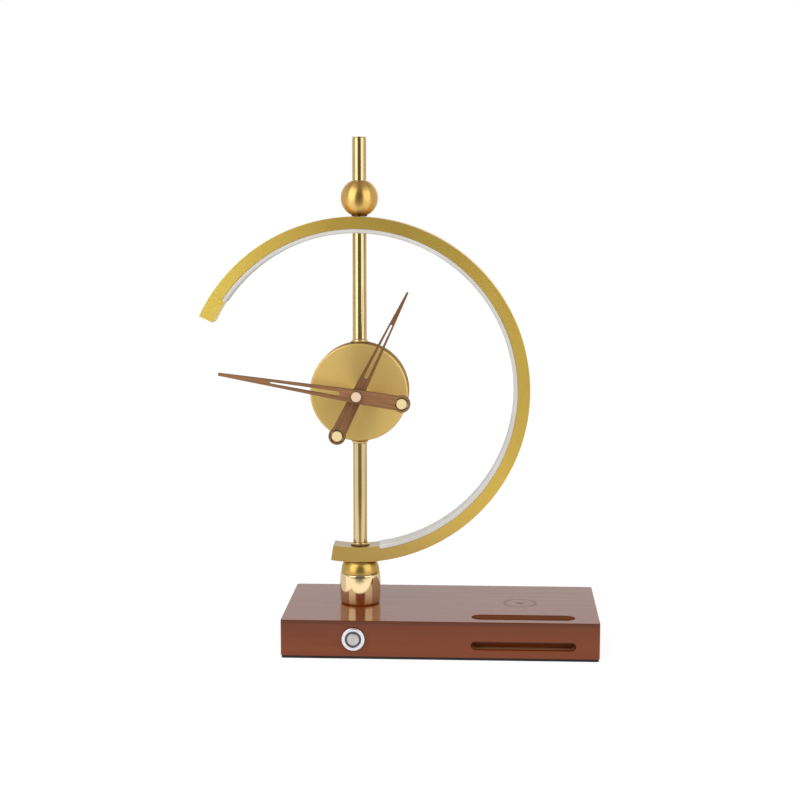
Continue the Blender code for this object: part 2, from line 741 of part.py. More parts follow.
def make_switch(block, materials):
    """Metal push button with its bezel, gasket, light ring, moving button, nut and contact block."""
    place = (SWITCH_X, -BASE_DEPTH / 2, SWITCH_Z)
    front = frame("switch_frame", place, (math.radians(90), 0.0, 0.0))
    hole = rod(SWITCH_BARREL_RADIUS + GAP, -SWITCH_PANEL - THROUGH, THROUGH)
    cut(block, add_object("switch_hole_tool", hole, front))

    gasket_back = GAP
    gasket_front = gasket_back + SWITCH_GASKET_THICKNESS
    bezel_back = gasket_front + GAP
    bezel_front = bezel_back + SWITCH_BEZEL_THICKNESS
    barrel_end = bezel_back - SWITCH_BARREL_LENGTH
    bezel_round = SWITCH_BEZEL_THICKNESS * 0.4
    light_bore = SWITCH_LIGHT_OUTER_RADIUS + GAP
    light_inner = SWITCH_LIGHT_OUTER_RADIUS - SWITCH_LIGHT_WALL
    button_radius = light_inner - GAP
    button_bore = button_radius + GAP
    button_front = bezel_front + SWITCH_BUTTON_PROUD
    button_back = button_front - SWITCH_BUTTON_LENGTH
    bore_floor = button_back - SWITCH_TRAVEL - GAP
    light_front = bezel_front - GAP
    light_back = light_front - SWITCH_LIGHT_DEPTH

    gasket = tube(
        SWITCH_BEZEL_RADIUS - GAP,
        SWITCH_BARREL_RADIUS + GAP,
        gasket_back,
        gasket_front,
    )
    add_object("switch_gasket", gasket, front, material=materials["black_rubber"])

    housing = turned(
        [
            (0.0, bore_floor),
            (button_bore, bore_floor),
            (button_bore, light_back - GAP),
            (light_bore, light_back - GAP),
            (light_bore, bezel_front),
            (SWITCH_BEZEL_RADIUS - bezel_round, bezel_front),
            (SWITCH_BEZEL_RADIUS, bezel_front - bezel_round),
            (SWITCH_BEZEL_RADIUS, bezel_back),
            (SWITCH_BARREL_RADIUS, bezel_back),
            (SWITCH_BARREL_RADIUS, barrel_end),
            (0.0, barrel_end),
        ],
        MEDIUM,
    )
    add_object("switch_housing", housing, front, material=materials["steel"])
    light = tube(SWITCH_LIGHT_OUTER_RADIUS, light_inner, light_back, light_front)
    add_object("switch_light_ring", light, front, material=materials["smoked_plastic"])

    edge = button_radius * 0.08
    button = turned(
        [
            (0.0, button_back),
            (button_radius, button_back),
            (button_radius, button_front - edge),
            (button_radius - edge, button_front),
            (0.0, button_front),
        ],
        COARSE,
    )
    add_object("switch_button", button, front, material=materials["steel"])

    nut_top = -SWITCH_PANEL - GAP
    nut = prism(
        hexagon(SWITCH_NUT_ACROSS_FLATS),
        nut_top - SWITCH_NUT_THICKNESS,
        nut_top,
        [circle(SWITCH_BARREL_RADIUS + GAP, COARSE)],
    )
    add_object("switch_nut", nut, front, material=materials["steel"])

    block_front = barrel_end - GAP
    block_back = block_front - CONTACT_BLOCK_LENGTH
    contacts = add_object(
        "switch_contact_block",
        rod(CONTACT_BLOCK_RADIUS, block_back, block_front),
        front,
        material=materials["black_plastic"],
    )
    for number, place in enumerate((-1, 0, 1), start=1):
        middle = (
            place * CONTACT_BLADE_SPACING,
            0.0,
            block_back - CONTACT_BLADE_LENGTH / 2 + THROUGH / 2,
        )
        size = (CONTACT_BLADE_THICKNESS, CONTACT_BLADE_WIDTH, CONTACT_BLADE_LENGTH + THROUGH)
        fuse(contacts, add_object(f"contact_blade_tool_{number}", box(middle, size), front))


def make_post(materials):
    """Two collars, the threaded nipple that clamps the ring to the base, its washer and nut."""
    place = (POST_X, 0.0, 0.0)
    barrel_top = BARREL_BOTTOM + BARREL_HEIGHT
    belly = BARREL_BOTTOM + BARREL_HEIGHT * 0.42
    barrel = [(BORE_RADIUS, BARREL_BOTTOM), (BARREL_FOOT_RADIUS - 0.0006, BARREL_BOTTOM)]
    barrel += [(BARREL_FOOT_RADIUS, BARREL_BOTTOM + 0.0006)]
    barrel += bulge(BARREL_FOOT_RADIUS, BARREL_BELLY_RADIUS, BARREL_BOTTOM + 0.0006, belly, 2)[1:]
    barrel += bulge(BARREL_TOP_RADIUS, BARREL_BELLY_RADIUS, barrel_top - 0.0004, belly, 2)[-2::-1]
    barrel += [(BARREL_TOP_RADIUS - 0.0004, barrel_top), (BORE_RADIUS, barrel_top)]
    add_object(
        "barrel_collar", turned(barrel, FINE), location=place, material=materials["polished_brass"]
    )

    dome = [(BORE_RADIUS, DOME_BOTTOM)]
    steps = 4
    for i in range(steps + 1):
        turn = math.pi / 2 * i / steps
        reach = DOME_FOOT_RADIUS - DOME_TOP_RADIUS
        height = DOME_TOP - DOME_BOTTOM
        dome.append(
            (DOME_TOP_RADIUS + reach * math.cos(turn), DOME_BOTTOM + height * math.sin(turn))
        )
    dome.append((BORE_RADIUS, DOME_TOP))
    add_object("dome_collar", turned(dome, FINE), location=place, material=materials["satin_brass"])

    washer_top = BAY_CEILING - GAP
    washer_bottom = washer_top - WASHER_THICKNESS
    nut_top = washer_bottom - GAP
    nut_bottom = nut_top - NUT_THICKNESS
    nipple = tube(
        NIPPLE_RADIUS, NIPPLE_BORE_RADIUS, nut_bottom - 0.002, ROD_FOOT + NIPPLE_ENGAGEMENT
    )
    add_object("post_nipple", nipple, location=place, material=materials["steel"])
    washer = tube(WASHER_RADIUS, BORE_RADIUS, washer_bottom, washer_top)
    add_object("nipple_washer", washer, location=place, material=materials["steel"])
    nut = prism(hexagon(NUT_ACROSS_FLATS), nut_bottom, nut_top, [circle(BORE_RADIUS, COARSE)])
    add_object("nipple_nut", nut, location=place, material=materials["steel"])


def bulge(end_radius, belly_radius, end_height, belly_height, steps):
    """Profile points from an end to a barrel's belly, along a quarter of an ellipse."""
    points = []
    for i in range(steps + 1):
        turn = math.pi / 2 * i / steps
        points.append(
            (
                end_radius + (belly_radius - end_radius) * math.sin(turn),
                end_height + (belly_height - end_height) * (1 - math.cos(turn)),
            )
        )
    return points


def flange_profile(radius, bottom, height, bore):
    """Half section of a flared washer: a wide foot that sweeps in to the rod above it."""
    lip = height * 0.35
    neck = ROD_RADIUS + (radius - ROD_RADIUS) * 0.35
    return [
        (bore, bottom),
        (radius, bottom),
        (radius, bottom + lip),
        (neck, bottom + height * 0.75),
        (neck, bottom + height),
        (bore, bottom + height),
    ]


def make_rods(materials):
    """The rods, their flanges and bolts, and the ball and its nipple at the top of the ring."""
    place = (POST_X, 0.0, 0.0)
    satin = materials["satin_brass"]
    foot = flange_profile(FOOT_FLANGE_RADIUS, BLOCK_TOP + GAP, FOOT_FLANGE_HEIGHT, BORE_RADIUS)
    add_object("foot_flange", turned(foot, COARSE), location=place, material=satin)

    seat = frame("case_frame", (POST_X, 0.0, CLOCK_Z), (math.radians(90), 0.0, 0.0))
    sag = ring_drop(CASE_RADIUS, CASE_FLANGE_RADIUS)
    for side, label in ((-1, "lower"), (1, "upper")):
        post = frame(
            f"{label}_flange_frame",
            (POST_X, 0.0, CLOCK_Z),
            (0.0, 0.0 if side > 0 else math.pi, 0.0),
        )
        start = CASE_RADIUS - sag
        height = CASE_FLANGE_HEIGHT + sag
        flange = add_object(
            f"{label}_case_flange",
            turned(flange_profile(CASE_FLANGE_RADIUS, start, height, BORE_RADIUS), COARSE),
            post,
            material=satin,
        )
        drum = rod(CASE_RADIUS + GAP, -CASE_DEPTH, CASE_DEPTH, FINE)
        cut(flange, add_object(f"{label}_saddle_tool", drum, seat))
        inner = CASE_RADIUS - CASE_WALL
        head_top = math.sqrt(inner**2 - BOLT_HEAD_RADIUS**2) - 2 * GAP
        bolt = turned(
            [
                (NIPPLE_BORE_RADIUS, head_top - BOLT_HEAD_HEIGHT),
                (BOLT_HEAD_RADIUS, head_top - BOLT_HEAD_HEIGHT),
                (BOLT_HEAD_RADIUS, head_top),
                (NIPPLE_RADIUS, head_top),
                (NIPPLE_RADIUS, CASE_RADIUS + CASE_FLANGE_HEIGHT + NIPPLE_ENGAGEMENT),
                (NIPPLE_BORE_RADIUS, CASE_RADIUS + CASE_FLANGE_HEIGHT + NIPPLE_ENGAGEMENT),
            ],
            COARSE,
        )
        add_object(f"{label}_case_bolt", bolt, post, material=materials["steel"])

    lower_top = CASE_BOTTOM - CASE_FLANGE_HEIGHT - GAP
    lower = tube(ROD_RADIUS, BORE_RADIUS, ROD_FOOT, lower_top, MEDIUM)
    add_object("lower_rod", lower, location=place, material=satin)
    upper_foot = CASE_TOP + CASE_FLANGE_HEIGHT + GAP
    upper_top = WEB_LOW - GAP
    upper = tube(ROD_RADIUS, BORE_RADIUS, upper_foot, upper_top, MEDIUM)
    add_object("upper_rod", upper, location=place, material=satin)

    nipple = tube(
        NIPPLE_RADIUS,
        NIPPLE_BORE_RADIUS,
        upper_top - NIPPLE_ENGAGEMENT,
        TOP_ROD_FOOT + NIPPLE_ENGAGEMENT,
    )
    add_object("ball_nipple", nipple, location=place, material=materials["steel"])

    ball = [
        (BORE_RADIUS, BALL_FOOT),
        (BALL_NECK_RADIUS, BALL_FOOT),
        (BALL_NECK_RADIUS, BALL_SEAT),
    ]
    low_turn = -math.acos(BALL_SEAT_RADIUS / BALL_RADIUS)
    high_turn = math.acos(BALL_TOP_RADIUS / BALL_RADIUS)
    steps = 6
    for i in range(steps + 1):
        turn = low_turn + (high_turn - low_turn) * i / steps
        ball.append((BALL_RADIUS * math.cos(turn), BALL_Z + BALL_RADIUS * math.sin(turn)))
    ball.append((BORE_RADIUS, ball[-1][1]))
    add_object("ball", turned(ball, MEDIUM), location=place, material=satin)

    top = TOP_ROD_FOOT + TOP_ROD_LENGTH
    top_rod = tube(ROD_RADIUS, BORE_RADIUS, TOP_ROD_FOOT, top, MEDIUM)
    add_object("top_rod", top_rod, location=place, material=satin)
    plug = turned(
        [
            (0.0, top + GAP - PLUG_STEM_LENGTH),
            (BORE_RADIUS - GAP, top + GAP - PLUG_STEM_LENGTH),
            (BORE_RADIUS - GAP, top + GAP),
            (ROD_RADIUS, top + GAP),
            (ROD_RADIUS, top + GAP + PLUG_HEAD_THICKNESS),
            (0.0, top + GAP + PLUG_HEAD_THICKNESS),
        ],
        MEDIUM,
    )
    add_object("rod_plug", plug, location=place, material=satin)


def make_ring(materials):
    """The open ring: channel, diffuser, two lengths of light strip and the solid end blocks."""
    ring = frame("ring_frame", (RING_X, 0.0, RING_Z), (math.radians(90), 0.0, 0.0))
    half = RING_DEPTH / 2
    brass = materials["satin_brass"]
    joint = math.degrees(GAP / RING_RADIUS)

    section = [
        (RING_RADIUS, -half),
        (RING_RADIUS, half),
        (CHANNEL_EDGE, half),
        (CHANNEL_EDGE, CHANNEL_HALF_WIDTH),
        (CHANNEL_FLOOR, CHANNEL_HALF_WIDTH),
        (CHANNEL_FLOOR, -CHANNEL_HALF_WIDTH),
        (CHANNEL_EDGE, -CHANNEL_HALF_WIDTH),
        (CHANNEL_EDGE, -half),
    ]
    channel = add_object(
        "ring_channel", ring_sweep(section, UPPER_SHOULDER, LOWER_SHOULDER), ring, material=brass
    )
    place = (POST_X, 0.0, RING_Z)
    bolt_hole = rod(BORE_RADIUS, CHANNEL_EDGE, RING_RADIUS + THROUGH)
    cut(channel, add_object("channel_hole_tool", bolt_hole, None, place))

    inner = CHANNEL_EDGE - DIFFUSER_PROUD
    lip = CHANNEL_EDGE - GAP
    cap_half = half - GAP
    leg_half = CHANNEL_HALF_WIDTH - GAP
    leg_top = lip + DIFFUSER_LEG
    corner = DIFFUSER_CORNER
    diffuser_half = [
        (inner, cap_half - corner),
        (inner + corner, cap_half),
        (lip, cap_half),
        (lip, leg_half),
        (leg_top, leg_half),
        (leg_top, leg_half - DIFFUSER_WALL),
        (inner + DIFFUSER_WALL, leg_half - DIFFUSER_WALL),
    ]
    section = diffuser_half + [(radius, -depth) for radius, depth in reversed(diffuser_half)]
    diffuser = add_object(
        "ring_diffuser",
        ring_sweep(section, UPPER_SHOULDER + joint, LOWER_SHOULDER - joint),
        ring,
        material=materials["opal"],
    )
    rod_hole = rod(ROD_RADIUS + GAP, inner - 2 * THROUGH, RING_RADIUS, MEDIUM)
    cut(diffuser, add_object("diffuser_hole_tool", rod_hole, None, place))

    strip_top = CHANNEL_FLOOR - GAP
    strip_low = strip_top - STRIP_THICKNESS
    strip_half = STRIP_WIDTH / 2
    section = [
        (strip_top, -strip_half),
        (strip_top, strip_half),
        (strip_low, strip_half),
        (strip_low, -strip_half),
    ]
    tongue_span = math.degrees(TONGUE_LENGTH / BLOCK_FACE)
    post_angle = math.degrees(math.asin(-RING_SHIFT / CHANNEL_FLOOR))
    rod_span = math.degrees((ROD_RADIUS + 2 * GAP) / strip_low)
    strips = (
        ("short_led_strip", UPPER_SHOULDER + tongue_span + 2 * joint, post_angle - rod_span),
        ("long_led_strip", post_angle + rod_span, LOWER_SHOULDER - tongue_span - 2 * joint),
    )
    for name, start, end in strips:
        add_object(name, ring_sweep(section, start, end), ring, material=materials["led_strip"])

    block_section = [(RING_RADIUS, -half), (RING_RADIUS, half), (BLOCK_FACE, half), (BLOCK_FACE, -half)]
    tongue_top = CHANNEL_FLOOR - GAP
    tongue_low = tongue_top - TONGUE_HEIGHT
    tongue_half = CHANNEL_HALF_WIDTH - GAP
    tongue_section = [
        (tongue_top, -tongue_half),
        (tongue_top, tongue_half),
        (tongue_low, tongue_half),
        (tongue_low, -tongue_half),
    ]
    ends = (
        ("upper_end_block", UPPER_END, UPPER_SHOULDER - joint, 1),
        ("lower_end_block", LOWER_SHOULDER + joint, LOWER_END, -1),
    )
    for name, start, end, inward in ends:
        block = add_object(name, ring_sweep(block_section, start, end), ring, material=brass)
        root = end if inward > 0 else start
        span = sorted((root - inward * tongue_span / 2, root + inward * tongue_span))
        fuse(block, add_object(f"{name}_tongue_tool", ring_sweep(tongue_section, *span), ring))
        if name == "lower_end_block":
            hole = rod(BORE_RADIUS, -RING_RADIUS - THROUGH, THROUGH - BLOCK_FACE + BLOCK_HEIGHT / 2)
            cut(block, add_object("block_hole_tool", hole, None, place))
            seat = rod(FOOT_FLANGE_RADIUS + GAP, BLOCK_TOP - RING_Z, BLOCK_TOP - RING_Z + THROUGH, MEDIUM)
            cut(block, add_object("block_seat_tool", seat, None, place))


def make_case(clock, materials):
    """Drum of the clock, open at the back, with holes for the bush and the two bolts."""
    chamfer = CASE_CHAMFER
    inner = CASE_RADIUS - CASE_WALL
    profile = [
        (BUSH_RADIUS + GAP, DIAL),
        (CASE_RADIUS - chamfer, DIAL),
        (CASE_RADIUS, DIAL - chamfer),
        (CASE_RADIUS, -DIAL),
        (inner, -DIAL),
        (inner, CASE_FLOOR),
        (BUSH_RADIUS + GAP, CASE_FLOOR),
    ]
    case = add_object("clock_case", turned(profile, FINE), clock, material=materials["spun_brass"])
    hole = rod(BORE_RADIUS, -CASE_RADIUS - THROUGH, CASE_RADIUS + THROUGH)
    cut(case, add_object("case_hole_tool", hole, None, (POST_X, 0.0, CLOCK_Z)))


def make_movement(clock, materials):
    """Plastic housing and front plate of the movement, its nut, the battery and the setting knob."""
    bearing = math.radians(MINUTE_WHEEL_BEARING)
    wheel = Vector((math.cos(bearing), math.sin(bearing))) * GEAR_CENTRES
    setting = wheel + wheel.normalized() * GEAR_MODULE * (MINUTE_WHEEL_TEETH + SETTING_TEETH) / 2
    half = MOVEMENT_SIZE / 2

    housing = add_object(
        "movement_housing",
        prism(
            rounded_rectangle(MOVEMENT_SIZE, MOVEMENT_SIZE, MOVEMENT_CORNER_RADIUS, 3),
            HOUSING_BACK,
            HOUSING_FRONT,
        ),
        clock,
        material=materials["black_plastic"],
    )
    wheel_tip = gear_radii(MINUTE_WHEEL_TEETH)[3]
    hour_tip = gear_radii(HOUR_WHEEL_TEETH)[3]
    setting_tip = gear_radii(SETTING_TEETH)[3]
    left = min(wheel.x - wheel_tip, setting.x - setting_tip) - CHAMBER_MARGIN
    top = max(wheel.y + wheel_tip, setting.y + setting_tip) + CHAMBER_MARGIN
    right = hour_tip + CHAMBER_MARGIN
    low = -hour_tip - CHAMBER_MARGIN
    chamber = prism(
        rounded_rectangle(
            right - left, top - low, 0.002, 2, centre=((left + right) / 2, (top + low) / 2)
        ),
        CHAMBER_FLOOR,
        HOUSING_FRONT + THROUGH,
    )
    cut(housing, add_object("chamber_tool", chamber, clock))

    bay_height = 2 * (BATTERY_RADIUS + GAP)
    bay_length = BATTERY_LENGTH + BATTERY_NUB_LENGTH + 2 * GAP
    bay_low = -half + BATTERY_BAY_WALL
    bay_floor = HOUSING_BACK + bay_height
    bay = box(
        (0.0, bay_low + bay_height / 2, (bay_floor + HOUSING_BACK - THROUGH) / 2),
        (bay_length, bay_height, bay_floor - HOUSING_BACK + THROUGH),
    )
    cut(housing, add_object("battery_bay_tool", bay, clock))

    for number, centre in enumerate((Vector((0.0, 0.0)), wheel), start=1):
        hole = prism(
            circle(PIVOT_RADIUS + RUNNING_GAP, 12, centre),
            CHAMBER_FLOOR - PIVOT_LENGTH - GAP,
            CHAMBER_FLOOR + THROUGH,
        )
        cut(housing, add_object(f"pivot_hole_tool_{number}", hole, clock))
    hole = prism(
        circle(SETTING_SHAFT_RADIUS + RUNNING_GAP, 12, setting),
        HOUSING_BACK - THROUGH,
        CHAMBER_FLOOR + THROUGH,
    )
    cut(housing, add_object("setting_hole_tool", hole, clock))

    plate_back = PLATE_FRONT - MOVEMENT_PLATE
    tube_bore = HOUR_TUBE_RADIUS + RUNNING_GAP
    plate = add_object(
        "movement_plate",
        prism(
            rounded_rectangle(MOVEMENT_SIZE, MOVEMENT_SIZE, MOVEMENT_CORNER_RADIUS, 3),
            plate_back,
            PLATE_FRONT,
        ),
        clock,
        material=materials["black_plastic"],
    )
    bush = rod(BUSH_RADIUS, plate_back + MOVEMENT_PLATE / 2, DIAL + BUSH_REACH)
    fuse(plate, add_object("bush_tool", bush, clock))
    cut(plate, add_object("bush_bore_tool", rod(tube_bore, plate_back - THROUGH, 2 * CASE_DEPTH), clock))
    pivot = prism(
        circle(PIVOT_RADIUS + RUNNING_GAP, 12, wheel), plate_back - THROUGH, PLATE_FRONT + THROUGH
    )
    cut(plate, add_object("plate_pivot_tool", pivot, clock))

    nut = prism(
        hexagon(BUSH_NUT_ACROSS_FLATS),
        DIAL + GAP,
        DIAL + GAP + BUSH_NUT_THICKNESS,
        [circle(BUSH_RADIUS + GAP, COARSE)],
    )
    add_object("bush_nut", nut, clock, material=materials["polished_brass"])

    cell = frame("battery_frame", (0.0, 0.0, 0.0), (0.0, math.radians(90), 0.0))
    cell.parent = clock
    cell.location = (0.0, bay_low + bay_height / 2, HOUSING_BACK + bay_height / 2)
    start = -(BATTERY_LENGTH + BATTERY_NUB_LENGTH) / 2
    shoulder = start + BATTERY_LENGTH
    battery = turned(
        [
            (0.0, start),
            (BATTERY_RADIUS, start),
            (BATTERY_RADIUS, shoulder),
            (BATTERY_NUB_RADIUS, shoulder),
            (BATTERY_NUB_RADIUS, shoulder + BATTERY_NUB_LENGTH),
            (0.0, shoulder + BATTERY_NUB_LENGTH),
        ],
        COARSE,
    )
    add_object("battery", battery, cell, material=materials["battery_label"])

    knob_front = HOUSING_BACK - GAP
    knob_back = knob_front - KNOB_THICKNESS
    flutes = []
    for i in range(2 * KNOB_FLUTES):
        radius = KNOB_RADIUS if i % 2 else KNOB_RADIUS * 0.92
        turn = math.pi * i / KNOB_FLUTES
        flutes.append((radius * math.cos(turn), radius * math.sin(turn)))
    knob = add_object(
        "setting_knob",
        prism(flutes, knob_back, knob_front),
        clock,
        location=(setting.x, setting.y, 0.0),
        material=materials["black_plastic"],
    )
    shaft = rod(SETTING_SHAFT_RADIUS, knob_front - GAP, REAR_LAYER + GEAR_THICKNESS / 2, 12)
    fuse(knob, add_object("setting_shaft_tool", shaft, clock, (setting.x, setting.y, 0.0)))
    pinion = prism(
        gear_outline(SETTING_TEETH, MINUTE_WHEEL_BEARING + 180.0),
        REAR_LAYER,
        REAR_LAYER + GEAR_THICKNESS,
    )
    fuse(knob, add_object("setting_pinion_tool", pinion, clock, (setting.x, setting.y, 0.0)))


def make_motion_work(clock, materials):
    """Cannon arbor, minute wheel and hour wheel, in mesh: the hour wheel turns once for twelve turns."""
    bearing = math.radians(MINUTE_WHEEL_BEARING)
    wheel = Vector((math.cos(bearing), math.sin(bearing))) * GEAR_CENTRES
    front_of_rear = REAR_LAYER + GEAR_THICKNESS

    arbor_tip = DIAL + MINUTE_HAND_STANDOFF + HAND_THICKNESS + 2 * GAP + CAP_SOCKET - GAP
    arbor = add_object(
        "minute_arbor",
        prism(gear_outline(CANNON_TEETH, MINUTE_WHEEL_BEARING), REAR_LAYER, front_of_rear),
        clock,
        material=materials["brass"],
    )
    spindle = turned(
        [
            (0.0, CHAMBER_FLOOR - PIVOT_LENGTH),
            (PIVOT_RADIUS, CHAMBER_FLOOR - PIVOT_LENGTH),
            (PIVOT_RADIUS, REAR_LAYER + GAP),
            (ARBOR_RADIUS, REAR_LAYER + GAP),
            (ARBOR_RADIUS, arbor_tip),
            (0.0, arbor_tip),
        ],
        SMALL,
    )
    fuse(arbor, add_object("spindle_tool", spindle, clock))

    minute_wheel = add_object(
        "minute_wheel",
        prism(
            gear_outline(
                MINUTE_WHEEL_TEETH, MINUTE_WHEEL_BEARING + 180.0 + 180.0 / MINUTE_WHEEL_TEETH
            ),
            REAR_LAYER,
            front_of_rear,
        ),
        clock,
        location=(wheel.x, wheel.y, 0.0),
        material=materials["white_plastic"],
    )
    pinion_top = FRONT_LAYER + GEAR_THICKNESS
    pinion = prism(
        gear_outline(MINUTE_PINION_TEETH, MINUTE_WHEEL_BEARING + 180.0),
        front_of_rear - GAP,
        pinion_top,
    )
    fuse(minute_wheel, add_object("minute_pinion_tool", pinion, clock, (wheel.x, wheel.y, 0.0)))
    pivots = turned(
        [
            (0.0, CHAMBER_FLOOR - PIVOT_LENGTH),
            (PIVOT_RADIUS, CHAMBER_FLOOR - PIVOT_LENGTH),
            (PIVOT_RADIUS, pinion_top + MOVEMENT_PLATE),
            (0.0, pinion_top + MOVEMENT_PLATE),
        ],
        12,
    )
    fuse(minute_wheel, add_object("minute_pivot_tool", pivots, clock, (wheel.x, wheel.y, 0.0)))

    tube_end = DIAL + HOUR_HAND_STANDOFF + HAND_THICKNESS
    hour_wheel = add_object(
        "hour_wheel",
        prism(
            gear_outline(HOUR_WHEEL_TEETH, MINUTE_WHEEL_BEARING + 180.0 / HOUR_WHEEL_TEETH),
            FRONT_LAYER,
            pinion_top,
            [circle(ARBOR_RADIUS + RUNNING_GAP, SMALL)],
        ),
        clock,
        material=materials["brass"],
    )
    hour_tube = tube(
        HOUR_TUBE_RADIUS,
        ARBOR_RADIUS + RUNNING_GAP,
        FRONT_LAYER + GEAR_THICKNESS / 2,
        tube_end,
        SMALL,
    )
    fuse(hour_wheel, add_object("hour_tube_tool", hour_tube, clock))


def hand_outline(length, hub_width, tip_width):
    """Outline of a hand along +Y: a taper to the tip, and a tail with a round end."""
    half_tail = TAIL_WIDTH / 2
    reach = math.sqrt(TAIL_END_RADIUS**2 - half_tail**2)
    start = math.atan2(reach, half_tail)
    count = 10
    points = [(hub_width / 2, 0.0), (tip_width / 2, length), (-tip_width / 2, length)]
    points.append((-hub_width / 2, 0.0))
    for i in range(count + 1):
        turn = math.pi - start + (math.pi + 2 * start) * i / count
        points.append(
            (TAIL_END_RADIUS * math.cos(turn), -TAIL_LENGTH + TAIL_END_RADIUS * math.sin(turn))
        )
    return points


def slot_outline(start, end, width):
    """Outline of a hand's slot along +Y: round at the hub's end, narrower and round at the tip's."""
    points = []
    for centre, half, first in (
        (end - SLOT_TIP_WIDTH / 2, SLOT_TIP_WIDTH / 2, 0.0),
        (start + width / 2, width / 2, math.pi),
    ):
        count = 4
        for i in range(count + 1):
            turn = first + math.pi * i / count
            points.append((half * math.cos(turn), centre + half * math.sin(turn)))
    return points


def make_hand(clock, materials, label, shape, standoff, angle, hub):
    """One wooden hand with its brass hub and the round brass insert in its tail."""
    length, width, tip, slot_start, slot_end, slot_width = shape
    hub_radius, hub_thickness, bore = hub
    back = DIAL + standoff
    front = back + HAND_THICKNESS
    turn = -math.radians(angle)
    neck = bore + HUB_NECK_WALL
    holes = [
        slot_outline(slot_start, slot_end, slot_width),
        circle(neck + GAP, SMALL),
        circle(INSERT_RADIUS + GAP, COARSE, (0.0, -TAIL_LENGTH)),
    ]
    hand = add_object(
        f"{label}_hand",
        prism(hand_outline(length, width, tip), back, front, holes),
        clock,
        turn=turn,
        material=materials["walnut"],
    )
    round_edges(hand, HAND_EDGE_ROUND, angle=60.0)

    hub_front = back - GAP
    hub_profile = [
        (bore, hub_front - hub_thickness),
        (hub_radius, hub_front - hub_thickness),
        (hub_radius, hub_front),
        (neck, hub_front),
        (neck, front),
        (bore, front),
    ]
    add_object(
        f"{label}_hub", turned(hub_profile, SMALL), clock, turn=turn, material=materials["polished_brass"]
    )

    edge = INSERT_PROUD / 2
    insert = turned(
        [
            (0.0, back),
            (INSERT_RADIUS, back),
            (INSERT_RADIUS, front + INSERT_PROUD - edge),
            (INSERT_RADIUS - edge, front + INSERT_PROUD),
            (0.0, front + INSERT_PROUD),
        ],
        COARSE,
    )
    centre = Vector((math.sin(turn), -math.cos(turn), 0.0)) * TAIL_LENGTH
    add_object(
        f"{label}_insert", insert, clock, centre, turn=turn, material=materials["polished_brass"]
    )


def make_hands(clock, materials):
    """Hour and minute hands, and the cap on the arbor."""
    make_hand(
        clock,
        materials,
        "hour",
        (
            HOUR_HAND_LENGTH,
            HOUR_HAND_WIDTH,
            HOUR_HAND_TIP,
            HOUR_SLOT_START,
            HOUR_SLOT_END,
            HOUR_SLOT_WIDTH,
        ),
        HOUR_HAND_STANDOFF,
        HOUR_HAND_ANGLE,
        (HOUR_HUB_RADIUS, HOUR_HUB_THICKNESS, HOUR_TUBE_RADIUS + RUNNING_GAP),
    )
    make_hand(
        clock,
        materials,
        "minute",
        (
            MINUTE_HAND_LENGTH,
            MINUTE_HAND_WIDTH,
            MINUTE_HAND_TIP,
            MINUTE_SLOT_START,
            MINUTE_SLOT_END,
            MINUTE_SLOT_WIDTH,
        ),
        MINUTE_HAND_STANDOFF,
        MINUTE_HAND_ANGLE,
        (MINUTE_HUB_RADIUS, MINUTE_HUB_THICKNESS, ARBOR_RADIUS + RUNNING_GAP),
    )
    cap_back = DIAL + MINUTE_HAND_STANDOFF + HAND_THICKNESS + 2 * GAP
    cap_front = cap_back + CAP_THICKNESS
    socket = ARBOR_RADIUS + RUNNING_GAP
    edge = CAP_THICKNESS * 0.2
    cap = turned(
        [
            (0.0, cap_back + CAP_SOCKET),
            (socket, cap_back + CAP_SOCKET),
            (socket, cap_back),
            (CAP_RADIUS, cap_back),
            (CAP_RADIUS, cap_front - edge),
            (CAP_RADIUS - edge, cap_front),
            (0.0, cap_front),
        ],
        COARSE,
    )
    add_object("hub_cap", cap, clock, material=materials["polished_brass"])


def make_materials():
    """One plain material for each finish."""
    return {
        "lacquered_wood": make_material("lacquered_wood", (0.21, 0.055, 0.028), 0.0, 0.25),
        "black_rubber": make_material("black_rubber", (0.02, 0.02, 0.02), 0.0, 0.8),
        "black_plastic": make_material("black_plastic", (0.03, 0.03, 0.03), 0.0, 0.45),
        "white_plastic": make_material("white_plastic", (0.8, 0.8, 0.78), 0.0, 0.45),
        "smoked_plastic": make_material("smoked_plastic", (0.12, 0.12, 0.12), 0.0, 0.3),
        "steel": make_material("steel", (0.62, 0.62, 0.62), 1.0, 0.3),
        "copper": make_material("copper", (0.72, 0.34, 0.18), 1.0, 0.35),
        "ferrite": make_material("ferrite", (0.05, 0.05, 0.055), 0.0, 0.7),
        "circuit_board": make_material("circuit_board", (0.02, 0.16, 0.06), 0.0, 0.5),
        "polished_brass": make_material("polished_brass", (0.86, 0.62, 0.30), 1.0, 0.12),
        "satin_brass": make_material("satin_brass", (0.70, 0.48, 0.17), 1.0, 0.35),
        "spun_brass": make_material("spun_brass", (0.72, 0.53, 0.20), 1.0, 0.25),
        "brass": make_material("brass", (0.72, 0.52, 0.22), 1.0, 0.3),
        "opal": make_material("opal", (0.86, 0.86, 0.85), 0.0, 0.4),
        "led_strip": make_material("led_strip", (0.85, 0.83, 0.65), 0.0, 0.5),
        "battery_label": make_material("battery_label", (0.10, 0.16, 0.30), 0.0, 0.35),
        "walnut": make_material("walnut", (0.19, 0.085, 0.04), 0.0, 0.5),
    }


